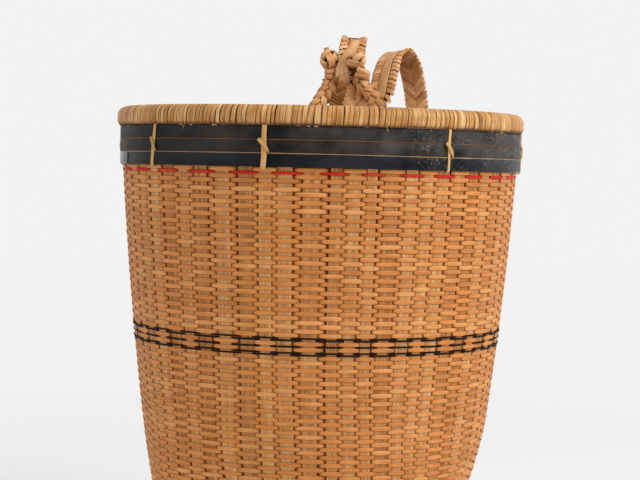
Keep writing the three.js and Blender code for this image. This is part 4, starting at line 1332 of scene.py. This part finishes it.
def make_hanger(strap, rng):
    """The hanger's knots, collars and braids, which stay with the basket, and its eye. Places are in the
    hanger's frame: x along the rim, y out from it and up from the top end. A collar stands on its foot,
    under its knot."""
    sizes, name = strap.sizes, strap.name
    side, face = sizes["side"], sizes["knots_face"]
    hang_x, hang_y = strap.hang_x, strap.hang_y
    knob_aside, knob_up = sizes["knob_shift"]
    knob_collar_aside, knob_collar_up = sizes["knob_collar_shift"]
    flat_aside, flat_up = sizes["flat_shift"]
    flat_collar_aside, flat_collar_up = sizes["flat_collar_shift"]
    knob_top, flat_top = -2, -5
    knob_x = side * (PLAIT_WIDTH / 2 + GAP + KNOB_RADIUS) + knob_aside
    knob_middle = knob_top - KNOB_HEIGHT / 2 + knob_up
    knob_collar_x = knob_x + knob_collar_aside
    knob_foot = knob_top - KNOB_HEIGHT - GAP - COLLAR_HEIGHT + knob_up + knob_collar_up
    braid_x = -side * (PLAIT_WIDTH / 2 + BRAID_RADIUS - BRAID_LAP)
    flat_x = braid_x + side * KNOT_INSET + flat_aside
    flat_middle = flat_top - FLAT_KNOT[2] + flat_up
    flat_collar_x = braid_x + flat_collar_aside
    flat_foot = flat_top - 2 * FLAT_KNOT[2] - GAP - COLLAR_HEIGHT + flat_collar_up
    on_leaf = lambda up: strap.leaf_out(up) + face * 3.1
    flat_y = on_leaf(flat_middle) + face * FLAT_KNOT[1]
    flat_collar_y = on_leaf(flat_foot) + face * (COLLAR_RADIUS + GAP)

    def finish(piece, part, suffix):
        """Makes a part's piece in place of the CAD's own."""
        piece.make(f"{name}_{part}_{suffix}", STRAP_CANE, replaces=[f"{name}_{part}"], slot="strap_cane")

    knob = Piece()
    tilt = Euler((math.radians(24), 0, math.radians(40))).to_matrix()
    tilted = np.array(tilt) @ np.stack([hang_x, hang_y, UP])
    radii = np.array([KNOB_RADIUS + 0.6, KNOB_RADIUS + 0.6, KNOB_HEIGHT / 2 + 0.4])
    knot(knob, strap.hung(knob_x, 0, knob_middle), tilted, radii, (8.2, 2.0), rng, reach=1.12)
    if side < 0:
        base = strap.hung(knob_x - 2, -2, knob_middle + 7.5)
        strip_end(knob, base, (-0.25, 0, 1), -hang_y, 6.0, 6.5, rng)
    finish(knob, "knob", "weave")

    flat = Piece()
    centre = strap.hung(flat_x, flat_y, flat_middle)
    tipped = np.stack([-hang_x * 0.3 + UP * 0.95, hang_y, hang_x * 0.95 + UP * 0.3])
    knot(flat, centre, tipped, FLAT_KNOT[[2, 1, 0]], (7.2, 2.0), rng, reach=1.1)
    finish(flat, "flat_knot", "weave")

    for part, x, y, foot, axis, radius in (
        ("knob_collar", knob_collar_x, 0, knob_foot, UP, COLLAR_RADIUS - 0.8),
        ("flat_collar", flat_collar_x, flat_collar_y, flat_foot, UP + hang_x * sizes["lean"],
         COLLAR_RADIUS + 0.6),
    ):
        collar = Piece()
        wound_collar(collar, strap.hung(x, y, foot), axis, radius, COLLAR_HEIGHT, 2, rng)
        finish(collar, part, "bands")

    for part, x, y, foot, to_side in (
        ("knob_braid", knob_collar_x, 0, knob_foot, side),
        ("flat_braid", flat_collar_x, flat_collar_y, flat_foot, -side),
    ):
        from_edge, standoff, z = np.array(sizes[part], float).T
        along = to_side * (PLAIT_WIDTH / 2 + from_edge + BRAID_RADIUS)
        if part == "knob_braid":  # it goes aside with its knot, less and less down to 120 mm
            along = along + knob_aside * np.clip(1 + (z + 60) / 60, 0, 1)
        round_face = np.sqrt(RIM_RADIUS ** 2 - along ** 2) - RIM_RADIUS
        path = np.concatenate([
            strap.hung([x, x], [y, y], [foot + 1, foot - BRAID_RADIUS]),
            strap.hung(along, round_face + standoff - sizes["standoff"], z),
        ])
        plaited = Piece()
        braid(plaited, path, -hang_y, 16.5, 7, 47.5, (6.8, 1.8), rng, count=5, shingle=0.22)
        finish(plaited, part, "plaited")
    make_eye(strap)


def make_eye(strap):
    """The eye: a round cane bent into a half ring about the tail, with two legs into the wall."""
    x, y, level = strap.eye
    bearing = math.atan2(x, -y)
    before, after = (round_wall(bearing + turn, level, 0) for turn in (-1e-3, 1e-3))
    along = unit(after - before)
    from_wall = unit(np.cross(along, UP))
    bend = TAIL_RADIUS + EYE_PLAY + EYE_CANE_RADIUS
    turn = np.linspace(0, np.pi, 13)
    deep = -EYE_STANDOFF - 4 - 3 * EYE_CANE_RADIUS
    across = np.concatenate([[-bend] * 3, -bend * np.cos(turn), [bend] * 3])
    out = np.concatenate([[deep, deep / 2, -2], bend * np.sin(turn), [-2, deep / 2, deep]])
    path = strap.eye + across[:, None] * along + out[:, None] * from_wall
    section = band_section(2 * EYE_CANE_RADIUS, 2 * EYE_CANE_RADIUS, 12, 1.0)
    ring = Piece().add(swept(path, UP, section), 0.6)
    ring.make(strap.name + "_eye_cane", STRAP_CANE, replaces=[strap.name + "_eye"], slot="strap_cane")


def make_tail(strap, rng):
    """The tail: the plait's strands gathered into a round plait of three, through the eye to a knot."""
    name, body = strap.name, strap.name + "_strap"
    path = strap.swung(*TAIL_PATH.T)
    tail = Piece()
    braid(tail, path, strap.swing_y, 2 * TAIL_RADIUS + 0.6, 7.5, 21, (4.6, 2.9), rng)
    tail.make(name + "_tail_plaited", STRAP_CANE, body=body, replaces=[name + "_tail"], slot="strap_cane")
    axes = np.stack([strap.swing_x, strap.swing_y, strap.line])
    top, height = -4, 2 * TAIL_KNOT[2]
    ball = Piece()
    knot(ball, strap.swung(0, top - height / 2), axes, TAIL_KNOT, (5.2, 2.1), rng)
    strip_end(ball, strap.swung(0, top - height + 2), -strap.line, strap.swing_y, 9, 5, rng)
    ball.make(name + "_tail_knot_weave", STRAP_CANE, body=body, replaces=[name + "_tail_knot"],
              slot="strap_cane")


def make_straps():
    """Both straps. The plait and its centre strip are set in place and join no body; the hanger stays
    with the basket and the tail turns with the strap.
    """
    for seed, name in enumerate(STRAPS):
        rng = np.random.default_rng(60 + seed)
        strap = Strap(name)
        band = Band(strap)
        for piece in (make_plait(strap, band, rng), make_centre_strip(strap, band)):
            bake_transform(piece)
        make_hanger(strap, rng)
        make_tail(strap, rng)


make_wefts()
make_stakes()
make_rim()
make_hoops()
make_lashings()
make_base()
make_foot()
make_straps()
# The hoops under the windings get the cane that is painted dark as shade
for name in ("rim_hoop_outer", "rim_hoop_inner", "foot_hoop"):
    for slot in frame["nodes"][name].material_slots:
        slot.material = HIDDEN_CANE

# Floor, light and camera


def make_stage():
    """A pale floor whose shadow shows softly near the basket and fades into an even pale background,
    which the camera sees in place of the lit floor further out. The world's light is brighter where it
    is seen or mirrored than where it only lights."""
    shade = Shader("floor")
    output = shade.tree.nodes["Material Output"]
    plain = shade.node("ShaderNodeEmission", Color=srgb(242, 242, 242), Strength=1.0)
    rays = shade.node("ShaderNodeLightPath")
    distance = shade.node("ShaderNodeVectorMath", Vector=shade.place)
    distance.operation = "LENGTH"
    far = shade.range(distance.outputs["Value"], 0.45, 1.6, 0.5, 1.0)
    shade.finish(srgb(240, 240, 240), 0.9)
    blend = shade.node("ShaderNodeMixShader")
    shade.set(blend.inputs[0], shade.times(rays.outputs["Is Camera Ray"], far))
    shade.set(blend.inputs[1], shade.surface.outputs[0])
    shade.set(blend.inputs[2], plain.outputs[0])
    shade.set(output.inputs["Surface"], blend.outputs[0])
    bpy.ops.mesh.primitive_circle_add(vertices=96, radius=6, fill_type="NGON", location=(0, 0, 0))
    floor = bpy.context.object
    floor.name = "floor"
    floor.data.materials.append(shade.material)

    world = bpy.data.worlds.new("studio")
    bpy.context.scene.world = world
    world.use_nodes = True
    nodes = Nodes(world.node_tree)
    background = nodes.tree.nodes["Background"]
    nodes.set(background.inputs["Color"], srgb(255, 255, 255))
    rays = nodes.node("ShaderNodeLightPath")
    seen = rays.outputs["Is Camera Ray"]
    for ray in ("Is Glossy Ray", "Is Transmission Ray"):
        seen = nodes.math("MAXIMUM", seen, rays.outputs[ray])
    nodes.set(background.inputs["Strength"], nodes.range(seen, 0.0, 1.0, 0.5, 0.895))


def make_lamp(name, azimuth, elevation, distance, size, power):
    """A square soft lamp that faces the basket, at an azimuth from the front towards +X."""
    lamp = bpy.data.lights.new(name, "AREA")
    lamp.energy = power
    lamp.size = size
    placed = bpy.data.objects.new(name, lamp)
    a, e = math.radians(azimuth), math.radians(elevation)
    back = Vector((math.sin(a) * math.cos(e), -math.cos(a) * math.cos(e), math.sin(e)))
    placed.location = back * distance + Vector((0, 0, 0.25))
    placed.rotation_euler = back.to_track_quat("Z", "Y").to_euler()
    bpy.context.scene.collection.objects.link(placed)


def make_camera():
    """The photograph's view: from azimuth 14 at the height of the band, a little down, slightly rolled."""
    azimuth, distance, eye_height = math.radians(14), 1.84, 0.4
    down, roll, aside = math.radians(2.24), math.radians(1.3), math.radians(0.06)
    camera = bpy.data.objects.new("camera", bpy.data.cameras.new("camera"))
    camera.data.lens = 104
    camera.data.sensor_width = 36
    back = Vector((math.sin(azimuth), -math.cos(azimuth), 0))
    camera.location = back * distance + Vector((0, 0, eye_height))
    aim = Euler((math.pi / 2 - down, 0, azimuth - aside), "XYZ").to_matrix()
    camera.rotation_euler = (aim @ Matrix.Rotation(roll, 3, "Z")).to_euler()
    bpy.context.scene.collection.objects.link(camera)
    bpy.context.scene.camera = camera


make_stage()
make_lamp("key", 76, 36, 2.6, 1.4, 51)
make_lamp("fill", -48, 22, 2.8, 2.0, 16)
make_lamp("top", 20, 80, 2.4, 1.4, 10)
make_camera()
bpy.context.scene.view_settings.view_transform = "Standard"
